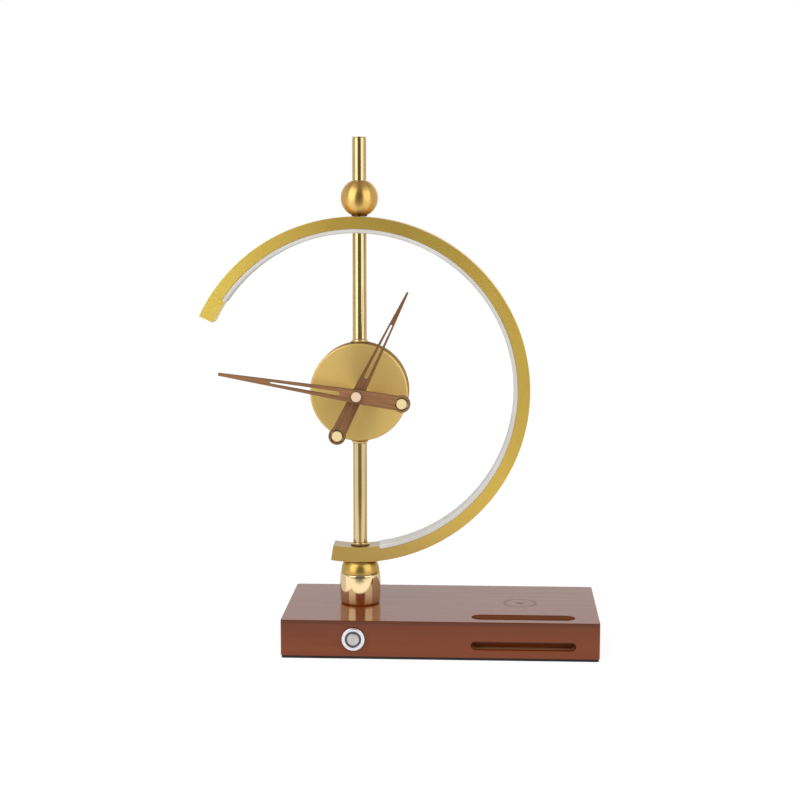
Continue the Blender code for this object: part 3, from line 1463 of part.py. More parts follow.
def main():
    """Builds the whole object."""
    clear_scene()
    materials = make_materials()
    block = make_base(materials)
    make_electronics(materials)
    make_inlet(block, materials)
    make_switch(block, materials)
    make_post(materials)
    make_rods(materials)
    make_ring(materials)
    clock = frame("clock_frame", (POST_X, 0.0, CLOCK_Z), (math.radians(90), 0.0, 0.0))
    make_case(clock, materials)
    make_movement(clock, materials)
    make_motion_work(clock, materials)
    make_hands(clock, materials)


main()
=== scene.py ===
"""Looks of the desk lamp clock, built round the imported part.

Metres, in the part's own frame: the desk is at z = 0 and the clock faces -Y.
"""

import json
import math

import bmesh
import bpy
from mathutils import Matrix, Vector

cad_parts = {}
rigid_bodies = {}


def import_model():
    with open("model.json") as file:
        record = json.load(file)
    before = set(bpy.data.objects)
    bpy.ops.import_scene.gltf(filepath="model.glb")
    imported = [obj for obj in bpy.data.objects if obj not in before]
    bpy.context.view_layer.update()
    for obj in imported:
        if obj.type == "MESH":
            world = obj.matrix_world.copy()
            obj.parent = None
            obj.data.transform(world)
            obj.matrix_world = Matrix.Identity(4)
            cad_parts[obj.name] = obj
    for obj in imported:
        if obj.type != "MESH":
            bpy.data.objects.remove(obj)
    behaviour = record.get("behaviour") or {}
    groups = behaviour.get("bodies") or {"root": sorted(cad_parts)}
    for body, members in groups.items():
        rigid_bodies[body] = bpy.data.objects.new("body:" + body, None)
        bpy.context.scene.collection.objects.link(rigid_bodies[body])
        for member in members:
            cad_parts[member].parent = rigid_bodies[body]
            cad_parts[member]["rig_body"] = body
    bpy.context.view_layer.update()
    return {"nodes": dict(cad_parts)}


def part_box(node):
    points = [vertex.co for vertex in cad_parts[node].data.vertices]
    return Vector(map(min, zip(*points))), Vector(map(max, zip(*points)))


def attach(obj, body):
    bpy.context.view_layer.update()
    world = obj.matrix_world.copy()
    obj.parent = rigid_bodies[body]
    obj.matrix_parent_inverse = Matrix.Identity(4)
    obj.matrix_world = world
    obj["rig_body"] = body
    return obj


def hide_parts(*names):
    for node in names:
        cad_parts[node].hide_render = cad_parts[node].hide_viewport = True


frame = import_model()
nodes = frame["nodes"]

# Camera, fitted to the photograph
CAMERA_POSITION = Vector((0.0453, -1.6768, 0.4509))
CAMERA_TARGET = Vector((-0.0411, 0.0, 0.23725))
CAMERA_LENS = 78.66
CAMERA_SENSOR = 36.0

# Reflections: the angles from the front, in radians, where the greys change, and the greys
GAP_TO_LAMP = (0.44, 0.56)
LAMP_TO_ROOM = (1.1, 1.4)
GAP_GREY = 0.13
LAMP_GREY = 0.38
ROOM_GREY = 0.64
NEAR_GAP_GREY = 0.2
NEAR_LAMP_GREY = 0.95
NEAR_GREY = 0.5
CEILING_GREY = 0.32
FILL_GREY = 0.62
WHITE = 1.0

# Softboxes: azimuth and elevation in degrees, distance, width and height, and power in watts
SOFTBOXES = {
    "left_softbox": (-44.0, 27.0, 1.9, (1.5, 2.3), 17.0),
    "right_softbox": (52.0, 23.0, 1.9, (1.5, 2.0), 11.0),
}
SOFTBOX_AIM_Z = 0.22

# Floor: left, right, near and far edge, and its greys
FLOOR = (-3.0, 3.0, -0.6, 5.0)
FLOOR_GREY = 0.75
FLOOR_SEEN_GREY = 0.26
FLOOR_GLOW_GREY = 0.84

# Clearance as in the part, how far cutters run past, and half the seam at the ring's ends
GAP = 0.0003
THROUGH = 0.002
SEAM = 0.00005

# Roundings, angles in degrees above which an edge is sharp or bevelled, the most of an edge that a
# rounded corner takes, and steps round the largest turned pieces
HAIR_ROUND = 0.0001
THIN_ROUND = 0.0002
FINE_ROUND = 0.0003
RIM_ROUND = 0.0004
SOFT_ROUND = 0.0006
SHARP_ANGLE = 35.0
BEVEL_ANGLE = 40.0
WELD_DISTANCE = 1e-5
MERGE_DISTANCE = 1e-7
EASED_SHARE = 0.45
ROUND_STEPS = 128

# Base
CORNER_RADIUS = 0.003
EDGE_ROUND = 0.0008
SLOTS_X = 0.0787
PHONE_SLOT = (0.098, 0.019, 0.012)
PHONE_SLOT_SETBACK = 0.02
FRONT_SLOT = (0.0985, 0.008, 0.014)
FRONT_SLOT_Z = 0.0142
SLOT_ROUND = 0.0006
BAY_SKIN = 0.008
BAY_SIDE_WALL = 0.022
BAY_REAR_WALL = 0.008
BAY_SLOT_WALL = 0.009
BAY_CORNER_RADIUS = 0.006
REBATE_CORNER_RADIUS = 0.0043
INLET_HOLE_RADIUS = 0.0042
SWITCH_BAY_WIDTH = 0.034
SWITCH_BAY_SKIN = 0.0045
COIL_SKIN = 0.004
# Half the reach along X of the light painted into the slots
SLOT_LIGHT_REACH = 0.0515
MARK_PLACE = (0.0765, 0.002)
MARK_RING = (0.01415, 0.01635)
MARK_DOT = (0.004, 0.0043)

# Push button
SWITCH_X = -0.0814
SWITCH_Z = 0.0196
SWITCH_PANEL = 0.008
BEZEL_RADIUS = 0.011
BEZEL_THICKNESS = 0.002
BEZEL_CHAMFER = 0.0008
GASKET_THICKNESS = 0.0008
SWITCH_BARREL_RADIUS = 0.0093
SWITCH_BARREL_LENGTH = 0.025
LIGHT_RADIUS = 0.0074
LIGHT_WALL = 0.0014
LIGHT_DEPTH = 0.0055
BUTTON_PROUD = 0.0004
BUTTON_LENGTH = 0.0105
BUTTON_TRAVEL = 0.0015

# Post and collars
BORE_RADIUS = 0.0053
BARREL_FOOT_RADIUS = 0.019
BARREL_BELLY_RADIUS = 0.02
BARREL_TOP_RADIUS = 0.0193
BARREL_BELLY_SHARE = 0.42
DOME_FOOT_RADIUS = 0.0187
DOME_TOP_RADIUS = 0.0138
ROD_RADIUS = 0.0068
FOOT_FLANGE_RADIUS = 0.0091
FOOT_FLANGE_HEIGHT = 0.003
# Height of the painted shadow at the foot flange's lower edge
FOOT_SHADOW_HEIGHT = 0.0012
CASE_FLANGE_RADIUS = 0.0087
CASE_FLANGE_HEIGHT = 0.0032
# Height of the painted shadow where each drum flange sits on the drum
CASE_SHADOW_HEIGHT = 0.0009
FLANGE_EDGE_SHARE = 0.35
FLANGE_SHOULDER_SHARE = 0.75
FLANGE_ROUND = 0.0005
BALL_RADIUS = 0.018
BALL_SEAT_RADIUS = 0.0081
BALL_TOP_RADIUS = 0.0075
BALL_NECK_RADIUS = 0.0076
BALL_NECK_HEIGHT = 0.00136

# Light ring. Its ends and shoulders are in degrees clockwise from the top. The heights of its bores
# and the places where its painted light and shade change are taken from its centre.
RING_SHIFT = -0.003
RING_RADIUS = 0.16738
RING_DEPTH = 0.025
CHANNEL_WEB = 0.0016
CHANNEL_CHEEK = 0.0015
CHANNEL_HEIGHT = 0.0116
DIFFUSER_PROUD = 0.0041
DIFFUSER_WALL = 0.0014
DIFFUSER_LEG = 0.005
DIFFUSER_CORNER = 0.0012
BLOCK_HEIGHT = 0.01464
UPPER_END = -64.5
UPPER_SHOULDER = -55.8
LOWER_SHOULDER = 171.6
LOWER_END = 188.5
CHANNEL_BORE = (0.1, 0.2)
DIFFUSER_BORE = (0.14, 0.167)
BLOCK_BORE_REACH = 0.01
RING_PAINTED_LIGHT_X = (-0.14, -0.06)
RING_PAINTED_SHADE_Y = (-0.165, -0.11)
RING_INNER_SHADE_Y = (-0.1, -0.05)

# Clock. A hand's angle is in degrees clockwise from the top. Its slot has a start, an end and a
# width, and its hub a radius, a thickness and the radius of its bore.
CASE_RADIUS = 0.0473
CASE_DEPTH = 0.026
CASE_WALL = 0.0015
CASE_CHAMFER = 0.0014
CASE_ROUND = 0.00025
CASE_STEPS = 160
CASE_SHARP_ANGLE = 50.0
BUSH_RADIUS = 0.004
HAND_THICKNESS = 0.0045
TAIL_LENGTH = 0.0433
TAIL_WIDTH = 0.0136
TAIL_END_RADIUS = 0.0082
SLOT_TIP_WIDTH = 0.0018
INSERT_RADIUS = 0.00555
INSERT_PROUD = 0.0008
HUB_NECK_WALL = 0.0011
CAP_RADIUS = 0.00505
CAP_THICKNESS = 0.002
CAP_SOCKET = 0.0012
HANDS = {
    "hour": {
        "angle": 26.1,
        "standoff": 0.022,
        "length": 0.1091,
        "width": 0.0118,
        "tip": 0.0019,
        "slot": (0.0178, 0.0751, 0.0038),
        "hub": (0.0062, 0.003, 0.00285),
    },
    "minute": {
        "angle": 278.9,
        "standoff": 0.029,
        "length": 0.1325,
        "width": 0.013,
        "tip": 0.0026,
        "slot": (0.0157, 0.083, 0.0044),
        "hub": (0.0052, 0.0009, 0.00185),
    },
}


def node_range(name, axis):
    """Lowest and highest value of a node along an axis."""
    low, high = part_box(name)
    return low[axis], high[axis]


def node_centre(name):
    """Centre of a node's box."""
    low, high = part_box(name)
    return (Vector(low) + Vector(high)) / 2


def at(x, y, z):
    """A place with the part's own axes."""
    return Matrix.Translation((x, y, z))


def facing(place):
    """A place whose Z points at the viewer and whose Y points up."""
    return at(*place) @ Matrix.Rotation(math.radians(90), 4, "X")


POST_X = node_centre("lower_rod").x
BASE_BOTTOM, BASE_TOP = node_range("base_block", 2)
BASE_LEFT, BASE_RIGHT = node_range("base_block", 0)
BASE_FRONT, BASE_BACK = node_range("base_block", 1)
PLATE_TOP = node_range("bottom_plate", 2)[1]
CLOCK_CENTRE = Vector((POST_X, 0.0, node_centre("clock_case").z))
DIAL = CASE_DEPTH / 2
RING_LOW = node_range("dome_collar", 2)[1] + GAP
RING_CENTRE = Vector((POST_X + RING_SHIFT, 0.0, RING_LOW + math.sqrt(RING_RADIUS**2 - RING_SHIFT**2)))
CHANNEL_EDGE = RING_RADIUS - CHANNEL_HEIGHT
CHANNEL_FLOOR = RING_RADIUS - CHANNEL_WEB
RING_HALF = RING_DEPTH / 2
CHANNEL_HALF_WIDTH = RING_HALF - CHANNEL_CHEEK
BLOCK_FACE = RING_RADIUS - BLOCK_HEIGHT
BALL_FOOT = node_range("ball", 2)[0]
FLANGE_FOOT = node_range("foot_flange", 2)[0]
RING_JOINT = math.degrees(SEAM / RING_RADIUS)
# Heights of the bands of painted shadow under the ball, at the foot flange's lower edge and where the drum's
# flanges sit on the drum
BALL_NECK_SHADOW = (BALL_FOOT, BALL_FOOT + BALL_NECK_HEIGHT)
FOOT_SHADOW = (FLANGE_FOOT, FLANGE_FOOT + FOOT_SHADOW_HEIGHT)
CASE_RING_SHADOW = (0.0, CASE_RADIUS + CASE_SHADOW_HEIGHT)

POST = at(POST_X, 0.0, 0.0)
SWITCH = facing((SWITCH_X, BASE_FRONT, SWITCH_Z))
RING = facing(RING_CENTRE)
RING_LEVEL = at(POST_X, 0.0, RING_CENTRE.z)
CLOCK = facing(CLOCK_CENTRE)


# Shapes


def angles(steps, start=0.0, end=math.pi / 2):
    """Angles in even steps, by default over a quarter turn."""
    return [start + (end - start) * i / steps for i in range(steps + 1)]


def arc(centre, radius, turns):
    """Points round a centre at some angles."""
    return [(centre[0] + radius * math.cos(turn), centre[1] + radius * math.sin(turn)) for turn in turns]


def circle(radius, count=64, centre=(0.0, 0.0)):
    """Corner points of a circle."""
    return arc(centre, radius, angles(count, 0.0, 2 * math.pi)[:-1])


def rectangle(left, right, bottom, top):
    """Corner points of a rectangle."""
    return [(left, bottom), (right, bottom), (right, top), (left, top)]


def mirrored(side):
    """A section of (radius, depth) points from the half of it that has positive depths."""
    return side + [(radius, -depth) for radius, depth in reversed(side)]


def rounded_rectangle(width, height, radius, count=8, centre=(0.0, 0.0)):
    """Outline of a rectangle with round corners."""
    points = []
    for quarter, (sx, sy) in enumerate(((1, 1), (-1, 1), (-1, -1), (1, -1))):
        corner = (centre[0] + sx * (width / 2 - radius), centre[1] + sy * (height / 2 - radius))
        start = quarter * math.pi / 2
        points += arc(corner, radius, angles(count, start, start + math.pi / 2))
    return points


def stadium(length, width, count=24):
    """Outline of a slot with round ends, along X."""
    x = (length - width) / 2
    right = arc((x, 0.0), width / 2, angles(count, -math.pi / 2, math.pi / 2))
    return right + arc((-x, 0.0), width / 2, angles(count, math.pi / 2, 1.5 * math.pi))


def eased(corners, radius, closed=True, count=4):
    """A chain of corners with each one rounded."""
    points = []
    for i, corner in enumerate(corners):
        if not closed and i in (0, len(corners) - 1):
            points.append(corner)
            continue
        here = Vector(corner)
        before = Vector(corners[i - 1]) - here
        after = Vector(corners[(i + 1) % len(corners)]) - here
        reach = min(radius, before.length * EASED_SHARE, after.length * EASED_SHARE)
        start = here + before.normalized() * reach
        end = here + after.normalized() * reach
        for j in range(count + 1):
            t = j / count
            points.append(tuple(start.lerp(here, t).lerp(here.lerp(end, t), t)))
    return points


def strip(shape, near, far):
    """Joins two loops of vertices with faces."""
    for i in range(len(near)):
        j = (i + 1) % len(near)
        shape.faces.new((near[i], near[j], far[j], far[i]))


def loft(loops):
    """Joins loops of points one after the other and closes both ends."""
    shape = bmesh.new()
    rows = [[shape.verts.new(point) for point in loop] for loop in loops]
    for near, far in zip(rows, rows[1:]):
        strip(shape, near, far)
    shape.faces.new(rows[0])
    shape.faces.new(rows[-1])
    return shape


def prism(outline, bottom, top):
    """Extrudes an outline from one height to another."""
    return loft([[(x, y, z) for x, y in outline] for z in (bottom, top)])


def offset(loop, distance):
    """Moves an anticlockwise outline inwards."""
    points = []
    for i, corner in enumerate(loop):
        here = Vector(corner)
        before = (here - Vector(loop[i - 1])).normalized()
        after = (Vector(loop[(i + 1) % len(loop)]) - here).normalized()
        inward = Vector((-before.y - after.y, before.x + after.x))
        points.append(tuple(here + inward * distance / (1.0 + before.dot(after))))
    return points


def levels(bottom, top, rounding, steps):
    """Heights from bottom to top, each with its inset, for a shape with round edges."""
    curve = [(rounding * (1 - math.cos(turn)), rounding * (1 - math.sin(turn))) for turn in angles(steps)]
    foot = [(bottom + rise, inset) for rise, inset in curve]
    return foot + [(top - rise, inset) for rise, inset in reversed(curve)]


def plate(outline, bottom, top, holes, rounding):
    """A flat piece with holes and round edges."""
    rows = levels(bottom, top, rounding, 3)
    shape = bmesh.new()
    rims = ([], [])
    for side, loop in ((1, outline), *((-1, hole) for hole in holes)):
        rings = [[shape.verts.new((x, y, z)) for x, y in offset(loop, side * inset)] for z, inset in rows]
        for near, far in zip(rings, rings[1:]):
            strip(shape, near, far)
        for rim, ring in zip(rims, (rings[0], rings[-1])):
            rim.extend(shape.edges.get(pair) for pair in zip(ring, ring[1:] + ring[:1]))
    for rim, up in zip(rims, (-1.0, 1.0)):
        bmesh.ops.triangle_fill(shape, use_beauty=True, edges=rim, normal=(0.0, 0.0, up))
    return shape


def turned(profile, count=96):
    """Turns a profile of (radius, height) points about Z. It is solid if it starts and ends at radius 0."""
    shape = bmesh.new()
    verts = [shape.verts.new((radius, 0.0, height)) for radius, height in profile]
    edges = [shape.edges.new(pair) for pair in zip(verts, verts[1:])]
    if profile[0][0] > 0.0:
        edges.append(shape.edges.new((verts[-1], verts[0])))
    about = {"cent": (0.0, 0.0, 0.0), "axis": (0.0, 0.0, 1.0), "angle": 2 * math.pi}
    bmesh.ops.spin(shape, geom=verts + edges, steps=count, use_merge=True, **about)
    bmesh.ops.remove_doubles(shape, verts=shape.verts, dist=MERGE_DISTANCE)
    return shape


def disc(radius, back, front):
    """Half section of a disc whose front edge is bevelled, from the middle of its back."""
    rim = [(radius, front - RIM_ROUND), (radius - RIM_ROUND, front)]
    return [(0.0, back), (radius, back), *rim, (0.0, front)]


def ring_sweep(section, start, end, step=0.75):
    """Sweeps a section of (radius, depth) points round the ring's axis, clockwise from the top."""
    turns = angles(max(1, round((end - start) / step)), math.radians(start), math.radians(end))
    return loft([[(r * math.sin(t), r * math.cos(t), depth) for r, depth in section] for t in turns])


def slot_tool(length, width, depth):
    """Cutter for a slot that goes down from z = 0, with a rounded rim."""
    heights = [(-depth, 0.0)]
    for turn in angles(3):
        heights.append((-SLOT_ROUND * (1 - math.sin(turn)), SLOT_ROUND * (1 - math.cos(turn))))
    heights.append((THROUGH, SLOT_ROUND))
    return loft(
        [[(x, y, z) for x, y in stadium(length + 2 * grow, width + 2 * grow)] for z, grow in heights]
    )


def add(name, data, place=None):
    """A new object in the scene."""
    item = bpy.data.objects.new(name, data)
    bpy.context.scene.collection.objects.link(item)
    if place:
        item.matrix_world = place
    return item


def piece(name, shape, look, place=None, sharp=SHARP_ANGLE):
    """Turns a shape into an object, smooth except at its sharp edges."""
    bmesh.ops.recalc_face_normals(shape, faces=shape.faces)
    mesh = bpy.data.meshes.new(name)
    shape.to_mesh(mesh)
    shape.free()
    mesh.shade_smooth()
    mesh.set_sharp_from_angle(angle=math.radians(sharp))
    if look:
        mesh.materials.append(look)
    return add(name, mesh, place)


def cut(item, shape, place=None):
    """Takes a shape out of an object's mesh."""
    tool = piece("cutter", shape, None, place)
    modifier = item.modifiers.new("cut", "BOOLEAN")
    modifier.operation = "DIFFERENCE"
    modifier.solver = "EXACT"
    modifier.object = tool
    bpy.context.view_layer.update()
    carved = item.evaluated_get(bpy.context.evaluated_depsgraph_get())
    mesh = bpy.data.meshes.new_from_object(carved)
    item.modifiers.remove(modifier)
    item.data = mesh
    mesh.set_sharp_from_angle(angle=math.radians(SHARP_ANGLE))
    bpy.data.objects.remove(tool)


def drill(item, radius, bottom, top, place, count=64):
    """Takes a round hole out of an object, between two heights at a place."""
    cut(item, prism(circle(radius, count), bottom, top), place)


def soften(item, width, segments=3, weld=False):
    """Rounds an object's edges that are sharper than BEVEL_ANGLE."""
    if weld:
        item.modifiers.new("weld", "WELD").merge_threshold = WELD_DISTANCE
    modifier = item.modifiers.new("edge_round", "BEVEL")
    modifier.width = width
    modifier.segments = segments
    modifier.limit_method = "ANGLE"
    modifier.angle_limit = math.radians(BEVEL_ANGLE)
    modifier.harden_normals = True


def stand_for(item, node):
    """Lets a piece take the place of a node of the part. Its flat faces stay flat next to rounded edges."""
    item.modifiers.new("flat_faces", "WEIGHTED_NORMAL").keep_sharp = True
    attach(item, nodes[node]["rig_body"])
    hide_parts(node)


# Finishes


def rgba(colour):
    """Four numbers for a colour socket, from a grey or from red, green and blue."""
    if isinstance(colour, float):
        colour = (colour, colour, colour)
    return (*colour, 1.0)


def dimmed(colour, factor):
    """A colour times a factor."""
    return tuple(factor * channel for channel in colour)


class Nodes:
    """Short ways to add shader nodes to a tree."""

    def __init__(self, tree):
        self.tree = tree

    def feed(self, socket, value):
        if isinstance(value, bpy.types.NodeSocket):
            self.tree.links.new(value, socket)
        else:
            socket.default_value = value

    def node(self, kind, sockets=None, **settings):
        """A new shader node of a kind, with its sockets fed by name or by number."""
        made = self.tree.nodes.new(f"ShaderNode{kind}")
        for key, value in settings.items():
            setattr(made, key, value)
        for name, value in (sockets or {}).items():
            self.feed(made.inputs[name], value)
        return made

    def place(self, scale=(1.0, 1.0, 1.0)):
        """Position in the object's own axes, in metres, stretched."""
        position = self.node("TexCoord").outputs["Object"]
        return self.node("Mapping", {"Vector": position, "Scale": scale}).outputs["Vector"]

    def noise(self, vector, scale=1.0, detail=2.0, roughness=0.55, distortion=0.0):
        names = ("Vector", "Scale", "Detail", "Roughness", "Distortion")
        values = (vector, scale, detail, roughness, distortion)
        return self.node("TexNoise", dict(zip(names, values))).outputs["Fac"]

    def spread(self, value, low, high, low_to=0.0, high_to=1.0):
        """Runs smoothly between two numbers as the value rises from low to high."""
        sockets = {"Value": value, "From Min": low, "From Max": high, "To Min": low_to, "To Max": high_to}
        return self.node("MapRange", sockets, interpolation_type="SMOOTHSTEP").outputs["Result"]

    def band(self, value, low, high, soft=0.0001):
        """1 between two values, and 0 outside them."""
        above = self.spread(value, low - soft, low + soft)
        return self.times(above, self.spread(value, high - soft, high + soft, 1.0, 0.0))

    def math(self, operation, first, second=0.0):
        return self.node("Math", {0: first, 1: second}, operation=operation).outputs["Value"]

    def times(self, first, *others):
        """Product of two or more values."""
        for other in others:
            first = self.math("MULTIPLY", first, other)
        return first

    def blend(self, value, first, second):
        """The first colour where the value is 0, and the second where it is 1."""
        sockets = {"Factor": value}
        for number, colour in ((6, first), (7, second)):
            sockets[number] = colour if isinstance(colour, bpy.types.NodeSocket) else rgba(colour)
        return self.node("Mix", sockets, data_type="RGBA").outputs[2]

    def fade(self, value, first, second, low=0.3, high=0.7):
        """From one colour to another as the value rises from low to high."""
        return self.blend(self.spread(value, low, high), first, second)

    def split(self, vector):
        return tuple(self.node("SeparateXYZ", {"Vector": vector}).outputs)

    def join(self, x, y, z):
        return self.node("CombineXYZ", {"X": x, "Y": y, "Z": z}).outputs["Vector"]

    def length(self, x, y):
        return self.math("SQRT", self.math("ADD", self.times(x, x), self.times(y, y)))

    def polar(self, *scales):
        """Turn, radius and depth round the object's Z, each times its scale."""
        x, y, z = self.split(self.place())
        position = (self.math("ARCTAN2", y, x), self.length(x, y), z)
        return self.join(*(self.times(value, scale) for value, scale in zip(position, scales)))

    def seen(self, *kinds):
        """1 for the named kinds of ray, and 0 for the rest."""
        path = self.node("LightPath")
        total = path.outputs[f"Is {kinds[0]} Ray"]
        for kind in kinds[1:]:
            total = self.math("MAXIMUM", total, path.outputs[f"Is {kind} Ray"])
        return total


class Finish(Nodes):
    """A Principled material."""

    def __init__(self, name, **sockets):
        self.material = bpy.data.materials.new(name)
        self.material.use_nodes = True
        super().__init__(self.material.node_tree)
        self.shader = self.tree.nodes["Principled BSDF"]
        for words, value in sockets.items():
            socket = words.replace("_", " ").title().replace("Ior", "IOR")
            self.shader.inputs[socket].default_value = value

    def colour(self, value):
        self.feed(self.shader.inputs["Base Color"], value)

    def rough(self, value, *reach):
        """Roughness from a value, or within a reach as the value rises from 0.3 to 0.7."""
        if reach:
            value = self.spread(value, 0.3, 0.7, *reach)
        self.feed(self.shader.inputs["Roughness"], value)

    def bump(self, height, strength, distance):
        made = self.node("Bump", {"Strength": strength, "Distance": distance, "Height": height})
        self.feed(self.shader.inputs["Normal"], made.outputs["Normal"])

    def brush(self):
        """Turns the brush lines of an anisotropic finish round the object's Z."""
        self.shader.inputs["Anisotropic Rotation"].default_value = 0.25
        x, y, _ = self.split(self.place())
        along = {"Vector": self.join(self.times(y, -1.0), x, 0.0)}
        kinds = {"vector_type": "VECTOR", "convert_from": "OBJECT", "convert_to": "WORLD"}
        made = self.node("VectorTransform", along, **kinds)
        self.feed(self.shader.inputs["Tangent"], made.outputs["Vector"])


def brushed_ring():
    """Lacquered brass brushed along the ring. A painted highlight makes it paler at the upper end, and
    painted shade makes it deeper at the foot and duller on its inner faces near the foot.
    """
    look = Finish("brushed_ring", metallic=0.85, anisotropic=0.75, coat_weight=0.6, coat_roughness=0.12)
    lines = look.noise(look.polar(6.0, 4000.0, 4000.0))
    cloud = look.noise(look.place(), 18.0)
    tone = look.fade(cloud, (0.9, 0.61, 0.115), (0.95, 0.66, 0.125), 0.35, 0.65)
    tone = look.blend(look.spread(lines, 0.3, 0.7, 0.7, 1.0), (0.87, 0.58, 0.11), tone)
    x, y, _ = look.split(look.place())
    # Painted highlight: paler brass towards the ring's upper end.
    tone = look.fade(x, (1.0, 0.745, 0.13), tone, *RING_PAINTED_LIGHT_X)
    # Painted shade: deeper brass towards the ring's foot.
    tone = look.fade(y, (0.76, 0.51, 0.132), tone, *RING_PAINTED_SHADE_Y)
    # Painted shade: duller brass on the faces that look inwards, near the ring's foot.
    lean_x, lean_y, _ = look.split(look.node("TexCoord").outputs["Normal"])
    outward = look.math("ADD", look.times(x, lean_x), look.times(y, lean_y))
    inward = look.spread(outward, -0.9 * BLOCK_FACE, -0.5 * BLOCK_FACE, 1.0, 0.0)
    foot = look.spread(y, *RING_INNER_SHADE_Y, 1.0, 0.0)
    look.colour(look.blend(look.times(inward, foot), tone, (0.56, 0.42, 0.19)))
    look.rough(look.spread(lines, 0.25, 0.75, 0.4, 0.46))
    look.brush()
    return look.material


def turned_brass(name, dull, bright, rough, shadow_band=None, brushed=0.0, shade_height=0.0):
    """Turned brass, with painted shadow in a band between two heights, and painted shade fading out above
    the band.
    """
    look = Finish(name, metallic=1.0, anisotropic=brushed)
    haze = look.noise(look.place((60.0, 60.0, 900.0)))
    cloud = look.noise(look.place(), 45.0)
    tone = look.fade(cloud, dull, bright)
    shine = look.spread(haze, 0.25, 0.75, *rough)
    if shadow_band:
        _, _, z = look.split(look.place())
        if shade_height:
            # Painted shade: darker brass fading out above the band.
            shade_above = look.spread(z, shadow_band[1], shadow_band[1] + shade_height, 0.75, 0.0)
            tone = look.blend(shade_above, tone, (0.3, 0.19, 0.06))
        # Painted shadow: dark brown brass within the band.
        dark = look.band(z, *shadow_band)
        tone = look.blend(dark, tone, (0.17, 0.085, 0.026))
        shine = look.math("MAXIMUM", shine, look.times(dark, 0.5))
    look.colour(tone)
    look.rough(shine)
    if brushed:
        look.brush()
    return look.material


def polished_brass():
    """Polished brass of the barrel collar."""
    look = Finish("polished_brass", metallic=1.0)
    cloud = look.noise(look.place(), 60.0, 3.0)
    haze = look.noise(look.place((40.0, 40.0, 1500.0)))
    look.colour(look.fade(cloud, (0.92, 0.69, 0.37), (0.95, 0.74, 0.42)))
    look.rough(haze, 0.06, 0.12)
    return look.material


def pale_brass(name, rim, dull, bright):
    """Pale satin brass of a small round piece, with a darker rim."""
    look = Finish(name, metallic=0.15)
    x, y, _ = look.split(look.place())
    lines = look.noise(look.polar(2.0, 6000.0, 6000.0))
    face = look.fade(lines, dull, bright)
    look.colour(look.fade(look.length(x, y), face, (0.13, 0.085, 0.03), rim - 0.0002, rim))
    look.rough(lines, 0.32, 0.42)
    return look.material


def spun_brass():
    """Brass of the drum, spun in fine circles on its face and darker on its side."""
    look = Finish("spun_brass", metallic=0.6, anisotropic=0.97)
    lines = look.noise(look.polar(3.0, 9000.0, 2500.0), detail=3.0, roughness=0.6)
    cloud = look.noise(look.place(), 30.0)
    tone = look.fade(cloud, (0.97, 0.675, 0.21), (1.0, 0.715, 0.24))
    tone = look.fade(lines, (0.94, 0.65, 0.2), tone)
    x, y, _ = look.split(look.place())
    side = look.spread(look.length(x, y), CASE_RADIUS - 0.0004, CASE_RADIUS - 0.0001)
    look.colour(look.blend(side, tone, (0.4, 0.24, 0.075)))
    shine = look.spread(lines, 0.25, 0.75, 0.33, 0.38)
    shine = look.math("MAXIMUM", shine, look.times(side, 0.65))
    look.rough(shine)
    look.brush()
    return look.material


def shaded_sides(look, z, wood):
    """Darkens the block's sides towards the top, most of all under its edge."""
    side = look.spread(z, BASE_TOP - 0.0003, BASE_TOP - 0.0001, 1.0, 0.0)
    rise = look.spread(z, 0.008, BASE_TOP - 0.003, 0.0, 0.3)
    rim = look.spread(z, BASE_TOP - 0.0052, BASE_TOP - 0.0024, 0.0, 0.45)
    shade = look.times(look.math("ADD", rise, rim), side)
    return look.blend(shade, wood, (0.085, 0.017, 0.002))


def slot_painted_light(look, x, y, z, wood):
    """Painted light: a lighter red-brown inside the top slot, and a lit tan strip on the front slot's floor.
    """
    along = look.band(x, SLOTS_X - SLOT_LIGHT_REACH, SLOTS_X + SLOT_LIGHT_REACH)
    middle = BASE_FRONT + PHONE_SLOT_SETBACK
    reach = PHONE_SLOT[1] / 2 + GAP
    across = look.band(y, middle - reach, middle + reach)
    below = look.band(z, BASE_TOP - PHONE_SLOT[2] - 0.0005, BASE_TOP - 0.0007)
    # Painted light: a lighter red-brown inside the top slot.
    wood = look.blend(look.times(along, across, below, 0.85), wood, (0.25, 0.088, 0.04))
    # Painted light: a lit tan strip along the front slot's floor.
    behind = look.spread(y, BASE_FRONT + 0.004, BASE_FRONT + 0.0055)
    before = look.math("LESS_THAN", y, BASE_FRONT + FRONT_SLOT[2] - 0.0015)
    floor = look.spread(z, FRONT_SLOT_Z - 0.0036, FRONT_SLOT_Z - 0.0026, 1.0, 0.0)
    return look.blend(look.times(behind, floor, along, before), wood, (0.52, 0.3, 0.13))


def charging_mark(look, x, y, z):
    """1 on a ring and a dot on the block's top, and 0 elsewhere."""
    off_x = look.math("SUBTRACT", x, MARK_PLACE[0])
    off_y = look.math("SUBTRACT", y, MARK_PLACE[1])
    reach = look.length(off_x, off_y)
    line = look.band(reach, *MARK_RING, 0.00015)
    dot = look.spread(reach, *MARK_DOT, 1.0, 0.0)
    top = look.spread(z, BASE_TOP - 0.0002, BASE_TOP - 0.0001)
    return look.times(look.math("MAXIMUM", line, dot), top)


